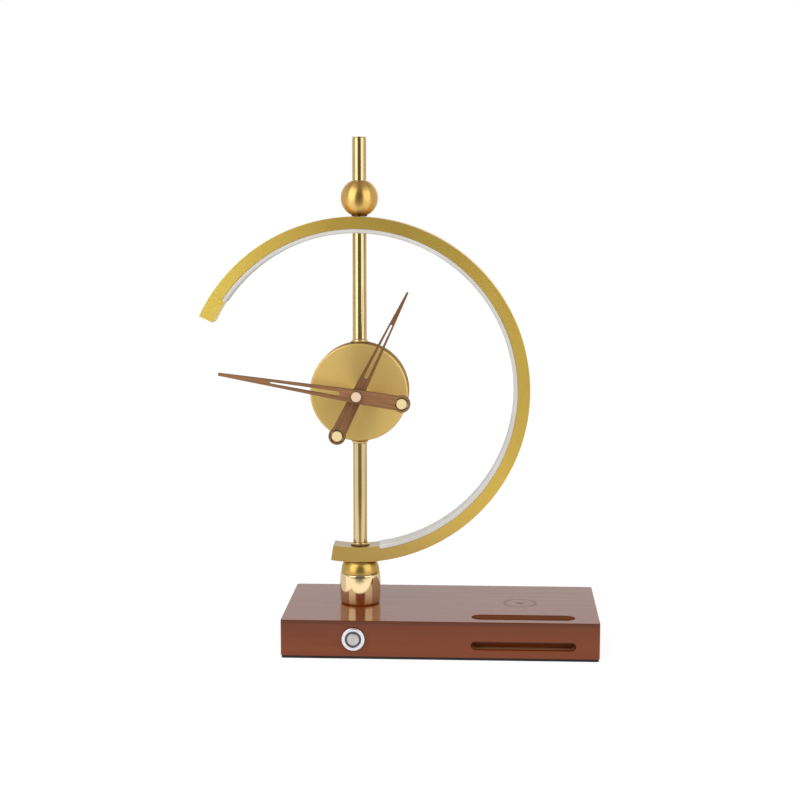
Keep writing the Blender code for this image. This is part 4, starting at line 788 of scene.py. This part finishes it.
def stained_wood():
    """Red-brown stained wood under a clear gloss, with a plain ring as the charging mark."""
    look = Finish("stained_wood", coat_roughness=0.12, specular_ior_level=0.05)
    x, y, z = look.split(look.place())
    grain = look.noise(look.place((9.0, 160.0, 160.0)), detail=5.0, roughness=0.6, distortion=0.4)
    pores = look.noise(look.place((70.0, 1500.0, 1500.0)))
    cloud = look.noise(look.place((3.0, 14.0, 14.0)))
    wood = look.fade(grain, (0.194, 0.036, 0.003), (0.218, 0.043, 0.0042), 0.35, 0.68)
    wood = look.fade(cloud, wood, (0.21, 0.04, 0.0038), 0.35, 0.7)
    wood = look.blend(look.spread(pores, 0.6, 0.75, 0.0, 0.22), wood, (0.12, 0.024, 0.003))
    wood = shaded_sides(look, z, wood)
    wood = slot_painted_light(look, x, y, z, wood)
    mark = charging_mark(look, x, y, z)
    look.colour(look.blend(look.times(mark, 0.3), wood, (0.075, 0.018, 0.002)))
    look.feed(look.shader.inputs["Coat Weight"], look.spread(mark, 0.0, 1.0, 0.75, 0.45))
    look.rough(grain, 0.42, 0.55)
    look.bump(pores, 0.008, 0.0001)
    return look.material


def walnut(name, dark, light):
    """Oiled wood of the hands, with its grain along them and painted shade on their edges."""
    look = Finish(name, specular_ior_level=0.3)
    grain = look.noise(look.place((1200.0, 30.0, 500.0)), detail=3.0, roughness=0.6)
    figure = look.noise(look.place((420.0, 9.0, 120.0)))
    fibre = look.noise(look.place((2600.0, 90.0, 1200.0)))
    wood = look.fade(figure, dark, light)
    wood = look.blend(look.spread(grain, 0.48, 0.66, 0.0, 0.75), wood, dimmed(dark, 0.55))
    wood = look.blend(look.spread(fibre, 0.5, 0.75, 0.0, 0.35), wood, dimmed(light, 1.25))
    _, _, lean = look.split(look.node("TexCoord").outputs["Normal"])
    # Painted shade: darker on the hand's sides and rounded edges, where the faces turn away from front and
    # back.
    edge_shade = look.spread(look.math("ABSOLUTE", lean), 0.5, 0.97, 0.8, 0.0)
    look.colour(look.blend(edge_shade, wood, dimmed(dark, 0.45)))
    look.rough(grain, 0.5, 0.66)
    look.bump(grain, 0.12, 0.0002)
    return look.material


def opal():
    """Frosted opal cover of the light, unlit."""
    look = Finish("opal_cover", specular_ior_level=0.4)
    cloud = look.noise(look.place(), 25.0)
    frost = look.noise(look.place(), 2500.0)
    look.colour(look.fade(cloud, (0.64, 0.615, 0.57), (0.71, 0.69, 0.655)))
    look.rough(frost, 0.42, 0.58)
    return look.material


def speckled(name, first, second, rough, scale=900.0, bump=0.1, metallic=0.0):
    """A plain moulded, cast or painted finish with fine mottling."""
    look = Finish(name, metallic=metallic)
    grain = look.noise(look.place(), scale, 3.0)
    cloud = look.noise(look.place(), scale / 18.0)
    mottle = look.times(look.math("ADD", grain, cloud), 0.5)
    look.colour(look.fade(mottle, first, second, 0.35, 0.65))
    look.rough(grain, *rough)
    look.bump(grain, bump, 0.0002)
    return look.material


def brushed_steel(name, first, second, rough):
    """Steel turned in fine circles about the object's Z."""
    look = Finish(name, metallic=1.0, anisotropic=0.5)
    lines = look.noise(look.polar(3.0, 9000.0, 4000.0))
    look.colour(look.fade(lines, first, second))
    look.rough(lines, *rough)
    look.brush()
    return look.material


def banded(name, first, second, frequency, axis, rough, metallic=0.0):
    """Two colours in fine bands along an axis, for coil turns, strip cells and labels."""
    look = Finish(name, metallic=metallic)
    axes = look.split(look.place())
    grain = look.noise(look.place(), 1200.0)
    bands = look.math("SINE", look.times(axes[axis], frequency))
    look.colour(look.fade(bands, first, second, -0.4, 0.4))
    look.rough(grain, *rough)
    look.bump(bands, 0.1, 0.0001)
    return look.material


# Material, dark and light colour, roughness, speckles per metre, strength of bumps, metallic
SPECKLED = {
    "black_rubber": ("foam_pad", (0.01, 0.01, 0.01), (0.028, 0.027, 0.026), (0.75, 0.95), 1500.0, 0.4),
    "black_plastic": ("moulded_black", (0.014, 0.014, 0.015), (0.03, 0.03, 0.031), (0.38, 0.52)),
    "white_plastic": ("moulded_white", (0.62, 0.61, 0.58), (0.72, 0.71, 0.68), (0.35, 0.48)),
    "smoked_plastic": ("smoked_cover", (0.085, 0.08, 0.1), (0.12, 0.115, 0.14), (0.2, 0.3)),
    "steel": ("zinc_steel", (0.48, 0.48, 0.47), (0.62, 0.62, 0.6), (0.25, 0.4), 600.0, 0.05, 1.0),
    "ferrite": ("ferrite_sheet", (0.035, 0.034, 0.036), (0.065, 0.063, 0.066), (0.65, 0.85), 1500.0),
    "circuit_board": ("green_board", (0.008, 0.09, 0.03), (0.02, 0.16, 0.06), (0.3, 0.45), 700.0, 0.2),
    "brass": ("milled_brass", (0.62, 0.43, 0.16), (0.78, 0.57, 0.25), (0.25, 0.38), 900.0, 0.05, 1.0),
    "painted_plate": ("painted_plate", (0.02, 0.02, 0.021), (0.04, 0.04, 0.042), (0.45, 0.6), 1800.0, 0.5),
}

# Material, two colours, frequency and axis of the bands, roughness, metallic
BANDED = {
    "copper": ("wound_copper", (0.42, 0.15, 0.06), (0.78, 0.36, 0.18), 9000.0, 0, (0.3, 0.42), 1.0),
    "led_strip": ("led_strip_cells", (0.8, 0.78, 0.7), (0.85, 0.72, 0.25), 500.0, 2, (0.45, 0.6)),
    "battery_label": ("battery_wrap", (0.05, 0.1, 0.24), (0.06, 0.12, 0.28), 160.0, 0, (0.28, 0.36)),
}

# Dull and bright colour, roughness, heights of a band of painted shadow, brushing, height of the painted
# shade above the band
TURNED = {
    "turned_brass": ((0.72, 0.535, 0.255), (0.76, 0.57, 0.28), (0.12, 0.13)),
    "ball_brass": ((0.78, 0.49, 0.135), (0.86, 0.55, 0.17), (0.29, 0.34), BALL_NECK_SHADOW, 0.85, 0.006),
    # The dome's darker brass is painted shade from the ring block above it.
    "dome_brass_painted_shade": ((0.6, 0.385, 0.095), (0.67, 0.44, 0.12), (0.27, 0.32)),
    "foot_brass": ((0.82, 0.6, 0.24), (0.88, 0.66, 0.28), (0.22, 0.28), FOOT_SHADOW),
    "case_ring_brass": ((0.8, 0.57, 0.22), (0.86, 0.63, 0.26), (0.22, 0.28), CASE_RING_SHADOW),
}


def make_finishes():
    """Every finish, by name. dress_nodes finds most of its finishes by the name of a node's slot."""
    insert_rim = INSERT_RADIUS - 0.0006
    cap_rim = CAP_RADIUS - 0.0003
    return {
        **{slot: speckled(*values) for slot, values in SPECKLED.items()},
        **{slot: banded(*values) for slot, values in BANDED.items()},
        **{name: turned_brass(name, *values) for name, values in TURNED.items()},
        "brushed_ring": brushed_ring(),
        "polished_brass": polished_brass(),
        "insert_brass": pale_brass("insert_brass", insert_rim, (0.96, 0.76, 0.37), (1.0, 0.81, 0.42)),
        "cap_brass": pale_brass("cap_brass", cap_rim, (0.93, 0.66, 0.47), (0.97, 0.72, 0.52)),
        "spun_brass": spun_brass(),
        "stained_wood": stained_wood(),
        "walnut_hour": walnut("walnut_hour", (0.195, 0.083, 0.031), (0.275, 0.126, 0.05)),
        "walnut_minute": walnut("walnut_minute", (0.238, 0.106, 0.04), (0.345, 0.164, 0.068)),
        "opal": opal(),
        "bezel_steel": brushed_steel("bezel_steel", (0.76, 0.74, 0.77), (0.86, 0.84, 0.87), (0.22, 0.32)),
        "button_steel": brushed_steel("button_steel", (0.56, 0.53, 0.5), (0.68, 0.65, 0.61), (0.3, 0.42)),
    }


# Pieces


def make_base(looks):
    """Wooden block with its two slots, its bays and the holes for the post, the switch and the inlet."""
    width = BASE_RIGHT - BASE_LEFT
    depth = BASE_BACK - BASE_FRONT
    loops = []
    for z, inset in levels(BASE_BOTTOM, BASE_TOP, EDGE_ROUND, 4):
        outline = rounded_rectangle(width - 2 * inset, depth - 2 * inset, CORNER_RADIUS - inset)
        loops.append([(x, y, z) for x, y in outline])
    block = piece("base_wood", loft(loops), looks["stained_wood"])
    cut_bays(block, width)
    cut(block, slot_tool(*PHONE_SLOT), at(SLOTS_X, BASE_FRONT + PHONE_SLOT_SETBACK, BASE_TOP))
    cut(block, slot_tool(*FRONT_SLOT), facing((SLOTS_X, BASE_FRONT, FRONT_SLOT_Z)))
    drill(block, BORE_RADIUS, 0.0, BASE_TOP + THROUGH, POST)
    drill(block, SWITCH_BARREL_RADIUS + GAP, -SWITCH_PANEL - THROUGH, THROUGH, SWITCH)
    inlet = node_centre("power_inlet")
    rear = facing((inlet.x, BASE_BACK, inlet.z))
    drill(block, INLET_HOLE_RADIUS, -THROUGH, BAY_REAR_WALL + THROUGH, rear)
    stand_for(block, "base_block")


def cut_bays(block, width):
    """Hollows the block from below for the cover plate, the boards, the switch and the coil."""
    low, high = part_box("bottom_plate")
    rebate = rounded_rectangle(high[0] - low[0] + 2 * GAP, high[1] - low[1] + 2 * GAP, REBATE_CORNER_RADIUS)
    cut(block, prism(rebate, -THROUGH, PLATE_TOP + GAP))
    front = BASE_FRONT + PHONE_SLOT_SETBACK + PHONE_SLOT[1] / 2 + BAY_SLOT_WALL
    back = BASE_BACK - BAY_REAR_WALL
    middle = (0.0, (back + front) / 2)
    bay = rounded_rectangle(width - 2 * BAY_SIDE_WALL, back - front, BAY_CORNER_RADIUS, centre=middle)
    cut(block, prism(bay, 0.0, BASE_TOP - BAY_SKIN))
    left = SWITCH_X - SWITCH_BAY_WIDTH / 2
    right = SWITCH_X + SWITCH_BAY_WIDTH / 2
    switch_bay = rectangle(left, right, BASE_FRONT + SWITCH_PANEL, front + BAY_CORNER_RADIUS)
    cut(block, prism(switch_bay, 0.0, BASE_TOP - SWITCH_BAY_SKIN))
    coil = node_centre("charging_coil")
    low, high = node_range("charging_coil", 0)
    coil_radius = (high - low) / 2
    drill(block, coil_radius + 3 * GAP, PLATE_TOP, BASE_TOP - COIL_SKIN, at(coil.x, coil.y, 0.0), 48)


def make_switch(looks):
    """Push button with its bezel, dark light ring and moving centre."""
    bezel_back = 2 * GAP + GASKET_THICKNESS
    bezel_front = bezel_back + BEZEL_THICKNESS
    barrel_end = bezel_back - SWITCH_BARREL_LENGTH
    button_radius = LIGHT_RADIUS - LIGHT_WALL - GAP
    button_front = bezel_front + BUTTON_PROUD
    button_back = button_front - BUTTON_LENGTH
    light_front = bezel_front - GAP
    light_back = light_front - LIGHT_DEPTH
    bore_end = button_back - BUTTON_TRAVEL - GAP
    housing = [
        (0.0, bore_end),
        (button_radius + GAP, bore_end),
        (button_radius + GAP, light_back - GAP),
        (LIGHT_RADIUS + GAP, light_back - GAP),
        (LIGHT_RADIUS + GAP, bezel_front),
        (BEZEL_RADIUS - BEZEL_CHAMFER, bezel_front),
        (BEZEL_RADIUS, bezel_front - BEZEL_CHAMFER),
        (BEZEL_RADIUS, bezel_back),
        (SWITCH_BARREL_RADIUS, bezel_back),
        (SWITCH_BARREL_RADIUS, barrel_end),
        (0.0, barrel_end),
    ]
    item = piece("switch_bezel", turned(eased(housing, RIM_ROUND, False)), looks["bezel_steel"], SWITCH)
    stand_for(item, "switch_housing")
    light = rectangle(LIGHT_RADIUS - LIGHT_WALL, LIGHT_RADIUS, light_back, light_front)
    item = piece("switch_ring", turned(eased(light, THIN_ROUND)), looks["smoked_plastic"], SWITCH)
    stand_for(item, "switch_light_ring")
    button = disc(button_radius, button_back, button_front)
    item = piece("switch_cap", turned(eased(button, FINE_ROUND, False)), looks["button_steel"], SWITCH)
    stand_for(item, "switch_button")


def make_barrel(looks):
    """Polished barrel-shaped collar on the block."""
    bottom, top = node_range("barrel_collar", 2)
    belly = bottom + (top - bottom) * BARREL_BELLY_SHARE
    start = bottom + SOFT_ROUND
    end = top - RIM_ROUND
    barrel = [(BORE_RADIUS, bottom), (BARREL_FOOT_RADIUS - SOFT_ROUND, bottom)]
    for turn in angles(12):
        radius = BARREL_FOOT_RADIUS + (BARREL_BELLY_RADIUS - BARREL_FOOT_RADIUS) * math.sin(turn)
        barrel.append((radius, start + (belly - start) * (1 - math.cos(turn))))
    for turn in angles(12, math.pi / 2, 0.0)[1:]:
        radius = BARREL_TOP_RADIUS + (BARREL_BELLY_RADIUS - BARREL_TOP_RADIUS) * math.sin(turn)
        barrel.append((radius, end - (end - belly) * (1 - math.cos(turn))))
    barrel += [(BARREL_TOP_RADIUS - RIM_ROUND, top), (BORE_RADIUS, top)]
    item = piece("barrel_turned", turned(barrel, ROUND_STEPS), looks["polished_brass"], POST)
    stand_for(item, "barrel_collar")


def make_dome(looks):
    """Satin dome on the barrel collar, in a brass darkened as painted shade from the ring above it."""
    bottom, top = node_range("dome_collar", 2)
    dome = [(BORE_RADIUS, bottom)]
    reach = DOME_FOOT_RADIUS - DOME_TOP_RADIUS
    for turn in angles(16):
        dome.append((DOME_TOP_RADIUS + reach * math.cos(turn), bottom + (top - bottom) * math.sin(turn)))
    dome.append((BORE_RADIUS, top))
    item = piece("dome_turned", turned(dome, ROUND_STEPS), looks["dome_brass_painted_shade"], POST)
    stand_for(item, "dome_collar")


def make_rods(looks):
    """The three rods, and the plug in the end of the top one."""
    satin = looks["turned_brass"]
    for node in ("lower_rod", "upper_rod", "top_rod"):
        bottom, top = node_range(node, 2)
        tube = rectangle(BORE_RADIUS, ROD_RADIUS, bottom, top)
        item = piece(f"{node}_tube", turned(eased(tube, THIN_ROUND)), satin, POST)
        stand_for(item, node)
    bottom, top = node_range("rod_plug", 2)
    head = node_range("top_rod", 2)[1] + GAP
    inner = BORE_RADIUS - GAP
    plug = [(0.0, bottom), (inner, bottom), (inner, head), (ROD_RADIUS, head), (ROD_RADIUS, top), (0.0, top)]
    item = piece("rod_end", turned(eased(plug, FINE_ROUND, False)), satin, POST)
    stand_for(item, "rod_plug")


def flange(radius, bottom, height):
    """A flared washer."""
    neck = ROD_RADIUS + (radius - ROD_RADIUS) * FLANGE_EDGE_SHARE
    corners = [
        (BORE_RADIUS, bottom),
        (radius, bottom),
        (radius, bottom + height * FLANGE_EDGE_SHARE),
        (neck, bottom + height * FLANGE_SHOULDER_SHARE),
        (neck, bottom + height),
        (BORE_RADIUS, bottom + height),
    ]
    return turned(eased(corners, FLANGE_ROUND))


def make_flanges(looks):
    """Flanges under the lower rod, and below and above the drum."""
    foot = flange(FOOT_FLANGE_RADIUS, FLANGE_FOOT, FOOT_FLANGE_HEIGHT)
    item = piece("foot_ring", foot, looks["foot_brass"], POST)
    stand_for(item, "foot_flange")
    sag = CASE_RADIUS - math.sqrt(CASE_RADIUS**2 - CASE_FLANGE_RADIUS**2)
    for label, turn in (("lower", math.pi), ("upper", 0.0)):
        shape = flange(CASE_FLANGE_RADIUS, CASE_RADIUS - sag, CASE_FLANGE_HEIGHT + sag)
        seat = at(*CLOCK_CENTRE) @ Matrix.Rotation(turn, 4, "Y")
        item = piece(f"{label}_case_ring", shape, looks["case_ring_brass"], seat)
        drill(item, CASE_RADIUS + GAP, -CASE_DEPTH, CASE_DEPTH, CLOCK, ROUND_STEPS)
        stand_for(item, f"{label}_case_flange")


def make_ball(looks):
    """Ball on top of the ring, with the short neck under it."""
    seat = BALL_FOOT + BALL_NECK_HEIGHT
    centre = seat + math.sqrt(BALL_RADIUS**2 - BALL_SEAT_RADIUS**2)
    low_turn = -math.acos(BALL_SEAT_RADIUS / BALL_RADIUS)
    high_turn = math.acos(BALL_TOP_RADIUS / BALL_RADIUS)
    ball = [(BORE_RADIUS, BALL_FOOT), (BALL_NECK_RADIUS, BALL_FOOT), (BALL_NECK_RADIUS, seat)]
    ball += arc((0.0, centre), BALL_RADIUS, angles(48, low_turn, high_turn))
    ball.append((BORE_RADIUS, ball[-1][1]))
    item = piece("ball_turned", turned(ball, ROUND_STEPS), looks["ball_brass"], POST)
    stand_for(item, "ball")


def make_channel(looks):
    """Brass channel of the light ring."""
    side = [
        (RING_RADIUS, RING_HALF),
        (CHANNEL_EDGE, RING_HALF),
        (CHANNEL_EDGE, CHANNEL_HALF_WIDTH),
        (CHANNEL_FLOOR, CHANNEL_HALF_WIDTH),
    ]
    sweep = ring_sweep(eased(mirrored(side), FINE_ROUND, count=3), UPPER_SHOULDER, LOWER_SHOULDER)
    item = piece("ring_brass", sweep, looks["brushed_ring"], RING)
    drill(item, BORE_RADIUS, *CHANNEL_BORE, RING_LEVEL)
    stand_for(item, "ring_channel")


def make_diffuser(looks):
    """Opal cover in the channel's mouth."""
    inner = CHANNEL_EDGE - DIFFUSER_PROUD
    lip = CHANNEL_EDGE - GAP
    cap_half = RING_HALF - GAP
    leg_half = CHANNEL_HALF_WIDTH - GAP
    corner = (inner + DIFFUSER_CORNER, cap_half - DIFFUSER_CORNER)
    side = arc(corner, DIFFUSER_CORNER, angles(6, math.pi, math.pi / 2)) + [
        (lip, cap_half),
        (lip, leg_half),
        (lip + DIFFUSER_LEG, leg_half),
        (lip + DIFFUSER_LEG, leg_half - DIFFUSER_WALL),
        (inner + DIFFUSER_WALL, leg_half - DIFFUSER_WALL),
    ]
    sweep = ring_sweep(mirrored(side), UPPER_SHOULDER + RING_JOINT, LOWER_SHOULDER - RING_JOINT)
    item = piece("ring_cover", sweep, looks["opal"], RING)
    drill(item, ROD_RADIUS + GAP, *DIFFUSER_BORE, RING_LEVEL)
    stand_for(item, "ring_diffuser")


def make_end_blocks(looks):
    """Solid blocks at the light ring's ends. The lower one holds the foot flange."""
    section = rectangle(BLOCK_FACE, RING_RADIUS, -RING_HALF, RING_HALF)
    ends = (
        ("upper_end_block", UPPER_END, UPPER_SHOULDER - RING_JOINT),
        ("lower_end_block", LOWER_SHOULDER + RING_JOINT, LOWER_END),
    )
    for node, start, end in ends:
        item = piece(f"{node}_solid", ring_sweep(section, start, end), looks["brushed_ring"], RING)
        if node == "lower_end_block":
            seat = FLANGE_FOOT - GAP
            drill(item, FOOT_FLANGE_RADIUS + GAP, seat, seat + BLOCK_BORE_REACH, POST)
            drill(item, BORE_RADIUS, 0.0, seat + BLOCK_BORE_REACH, POST)
        soften(item, FINE_ROUND)
        stand_for(item, node)


def make_drum(looks):
    """Brass drum of the clock, open at the back."""
    inner = CASE_RADIUS - CASE_WALL
    case = [
        (BUSH_RADIUS + GAP, DIAL),
        (CASE_RADIUS - CASE_CHAMFER, DIAL),
        (CASE_RADIUS, DIAL - CASE_CHAMFER),
        (CASE_RADIUS, -DIAL),
        (inner, -DIAL),
        (inner, DIAL - CASE_WALL),
        (BUSH_RADIUS + GAP, DIAL - CASE_WALL),
    ]
    shape = turned(eased(case, CASE_ROUND, count=3), CASE_STEPS)
    drum = piece("clock_drum", shape, looks["spun_brass"], CLOCK, CASE_SHARP_ANGLE)
    drill(drum, BORE_RADIUS, -CASE_RADIUS - THROUGH, CASE_RADIUS + THROUGH, at(*CLOCK_CENTRE))
    stand_for(drum, "clock_case")


def make_hand(looks, label, hand):
    """One slotted wooden hand with its hub and the round insert in its tail."""
    back = DIAL + hand["standoff"]
    front = back + HAND_THICKNESS
    place = CLOCK @ Matrix.Rotation(-math.radians(hand["angle"]), 4, "Z")
    hub_radius, hub_thickness, bore = hand["hub"]
    neck = bore + HUB_NECK_WALL

    half_tail = TAIL_WIDTH / 2
    start = math.atan2(math.sqrt(TAIL_END_RADIUS**2 - half_tail**2), half_tail)
    tail = (0.0, -TAIL_LENGTH)
    outline = [
        (hand["width"] / 2, 0.0),
        (hand["tip"] / 2, hand["length"]),
        (-hand["tip"] / 2, hand["length"]),
        (-hand["width"] / 2, 0.0),
        *arc(tail, TAIL_END_RADIUS, angles(40, math.pi - start, 2 * math.pi + start)),
    ]
    slot_start, slot_end, slot_width = hand["slot"]
    tip = SLOT_TIP_WIDTH / 2
    root = slot_width / 2
    slot = arc((0.0, slot_end - tip), tip, angles(12, 0.0, math.pi))
    slot += arc((0.0, slot_start + root), root, angles(12, math.pi, 2 * math.pi))
    holes = [slot, circle(neck + GAP, 48), circle(INSERT_RADIUS + GAP, 64, tail)]
    shape = plate(outline, back, front, holes, RIM_ROUND)
    item = piece(f"{label}_hand_wood", shape, looks[f"walnut_{label}"], place)
    stand_for(item, f"{label}_hand")

    seat = back - GAP
    foot = seat - hub_thickness
    hub = [(bore, foot), (hub_radius, foot), (hub_radius, seat), (neck, seat), (neck, front), (bore, front)]
    item = piece(f"{label}_hub_turned", turned(eased(hub, HAIR_ROUND), 64), looks["polished_brass"], place)
    stand_for(item, f"{label}_hub")

    shape = turned(eased(disc(INSERT_RADIUS, back, front + INSERT_PROUD), FINE_ROUND, False))
    item = piece(f"{label}_insert_turned", shape, looks["insert_brass"], place @ at(*tail, 0.0))
    stand_for(item, f"{label}_insert")


def make_cap(looks):
    """Round cap on the minute hand's hub."""
    back = DIAL + HANDS["minute"]["standoff"] + HAND_THICKNESS + 2 * GAP
    socket = HANDS["minute"]["hub"][2]
    cap = [(0.0, back + CAP_SOCKET), (socket, back + CAP_SOCKET), (socket, back)]
    cap += disc(CAP_RADIUS, back, back + CAP_THICKNESS)[1:]
    item = piece("hub_button", turned(eased(cap, FINE_ROUND, False)), looks["cap_brass"], CLOCK)
    stand_for(item, "hub_cap")


def dress_nodes(looks):
    """Finishes and softer edges for the nodes that keep their own shape."""
    fine = ("base_pad", "bottom_plate", "battery", "setting_knob", "power_inlet")
    rounds = {"movement_housing": SOFT_ROUND, "switch_gasket": THIN_ROUND, **dict.fromkeys(fine, FINE_ROUND)}
    for name, node in nodes.items():
        slot = node.data.materials[0].name.split(".")[0]
        look = looks["painted_plate"] if name == "bottom_plate" else looks.get(slot)
        node.material_slots[0].material = look or looks["brass"]
        if name in rounds:
            soften(node, rounds[name], 2, weld=True)


# Studio


def make_camera():
    """Camera at the photograph's viewing angle."""
    data = bpy.data.cameras.new("camera")
    data.sensor_width = CAMERA_SENSOR
    data.lens = CAMERA_LENS
    data.clip_end = 50.0
    aim = (CAMERA_TARGET - CAMERA_POSITION).to_track_quat("-Z", "Y").to_matrix().to_4x4()
    bpy.context.scene.camera = add("camera", data, at(*CAMERA_POSITION) @ aim)


def make_world():
    """White surroundings. Only reflections show a dimmer room, dark in the gap between the softboxes."""
    world = bpy.data.worlds.new("studio")
    world.use_nodes = True
    sky = Nodes(world.node_tree)
    x, y, z = sky.split(sky.node("TexCoord").outputs["Generated"])
    off = sky.math("ABSOLUTE", sky.math("ARCTAN2", x, sky.times(y, -1.0)))
    in_lamp = sky.spread(off, *GAP_TO_LAMP)
    in_room = sky.spread(off, *LAMP_TO_ROOM)
    room = sky.blend(in_room, sky.blend(in_lamp, GAP_GREY, LAMP_GREY), ROOM_GREY)
    near = sky.blend(in_room, sky.blend(in_lamp, NEAR_GAP_GREY, NEAR_LAMP_GREY), NEAR_GREY)
    room = sky.fade(z, room, CEILING_GREY, 0.45, 0.8)
    room = sky.fade(z, near, room, -0.13, -0.08)
    room = sky.fade(y, room, WHITE, 0.78, 0.93)
    lit = sky.blend(sky.seen("Glossy"), FILL_GREY, room)
    colour = sky.blend(sky.seen("Camera", "Transmission"), lit, WHITE)
    sky.feed(sky.tree.nodes["Background"].inputs["Color"], colour)
    bpy.context.scene.world = world


def make_floor():
    """Pale floor that takes the shadow. It glows for the camera, and less where the clock reflects it."""
    material = bpy.data.materials.new("pale_floor")
    material.use_nodes = True
    ground = Nodes(material.node_tree)
    ground.tree.nodes.remove(ground.tree.nodes["Principled BSDF"])
    x, y, _ = ground.split(ground.place())
    off = ground.math("ABSOLUTE", ground.math("SUBTRACT", x, POST_X))
    beside = ground.spread(off, 0.12, 0.22, 0.1, 0.85)
    front = ground.math("MAXIMUM", beside, ground.spread(y, -0.44, -0.32, 0.1, 1.0))
    reflected = ground.times(front, ground.spread(y, -0.08, 0.02, 1.0, 0.55))
    strength = ground.math("MAXIMUM", ground.seen("Camera", "Transmission"), reflected)
    bare = ground.node("BsdfDiffuse", {"Color": rgba(FLOOR_GREY)})
    shown = ground.node("BsdfDiffuse", {"Color": rgba(FLOOR_SEEN_GREY)})
    glow = ground.node("Emission", {"Color": rgba(FLOOR_GLOW_GREY), "Strength": strength})
    both = ground.node("AddShader", {0: shown.outputs[0], 1: glow.outputs[0]})
    looked_at = ground.seen("Camera", "Glossy", "Transmission")
    mix = ground.node("MixShader", {0: looked_at, 1: bare.outputs[0], 2: both.outputs[0]})
    ground.feed(ground.tree.nodes["Material Output"].inputs["Surface"], mix.outputs[0])
    shape = bmesh.new()
    shape.faces.new([shape.verts.new((x, y, 0.0)) for x, y in rectangle(*FLOOR)])
    piece("floor", shape, material)


def make_softbox(name, azimuth, elevation, distance, size, power):
    """A soft panel lamp that faces the clock. Azimuth 0 is in front and positive is to the right."""
    turn = math.radians(azimuth)
    rise = math.radians(elevation)
    data = bpy.data.lights.new(name, "AREA")
    data.shape = "RECTANGLE"
    data.size, data.size_y = size
    data.energy = power
    away = Vector((math.sin(turn) * math.cos(rise), -math.cos(turn) * math.cos(rise), math.sin(rise)))
    aim = away.to_track_quat("Z", "Y").to_matrix().to_4x4()
    lamp = add(name, data, at(*(Vector((POST_X, 0.0, SOFTBOX_AIM_Z)) + away * distance)) @ aim)
    lamp.visible_camera = False


bpy.context.scene.view_settings.view_transform = "Standard"
make_camera()
make_world()
make_floor()
for name, values in SOFTBOXES.items():
    make_softbox(name, *values)

looks = make_finishes()
dress_nodes(looks)
make_base(looks)
make_switch(looks)
make_barrel(looks)
make_dome(looks)
make_rods(looks)
make_flanges(looks)
make_ball(looks)
make_channel(looks)
make_diffuser(looks)
make_end_blocks(looks)
make_drum(looks)
for label, hand in HANDS.items():
    make_hand(looks, label, hand)
make_cap(looks)
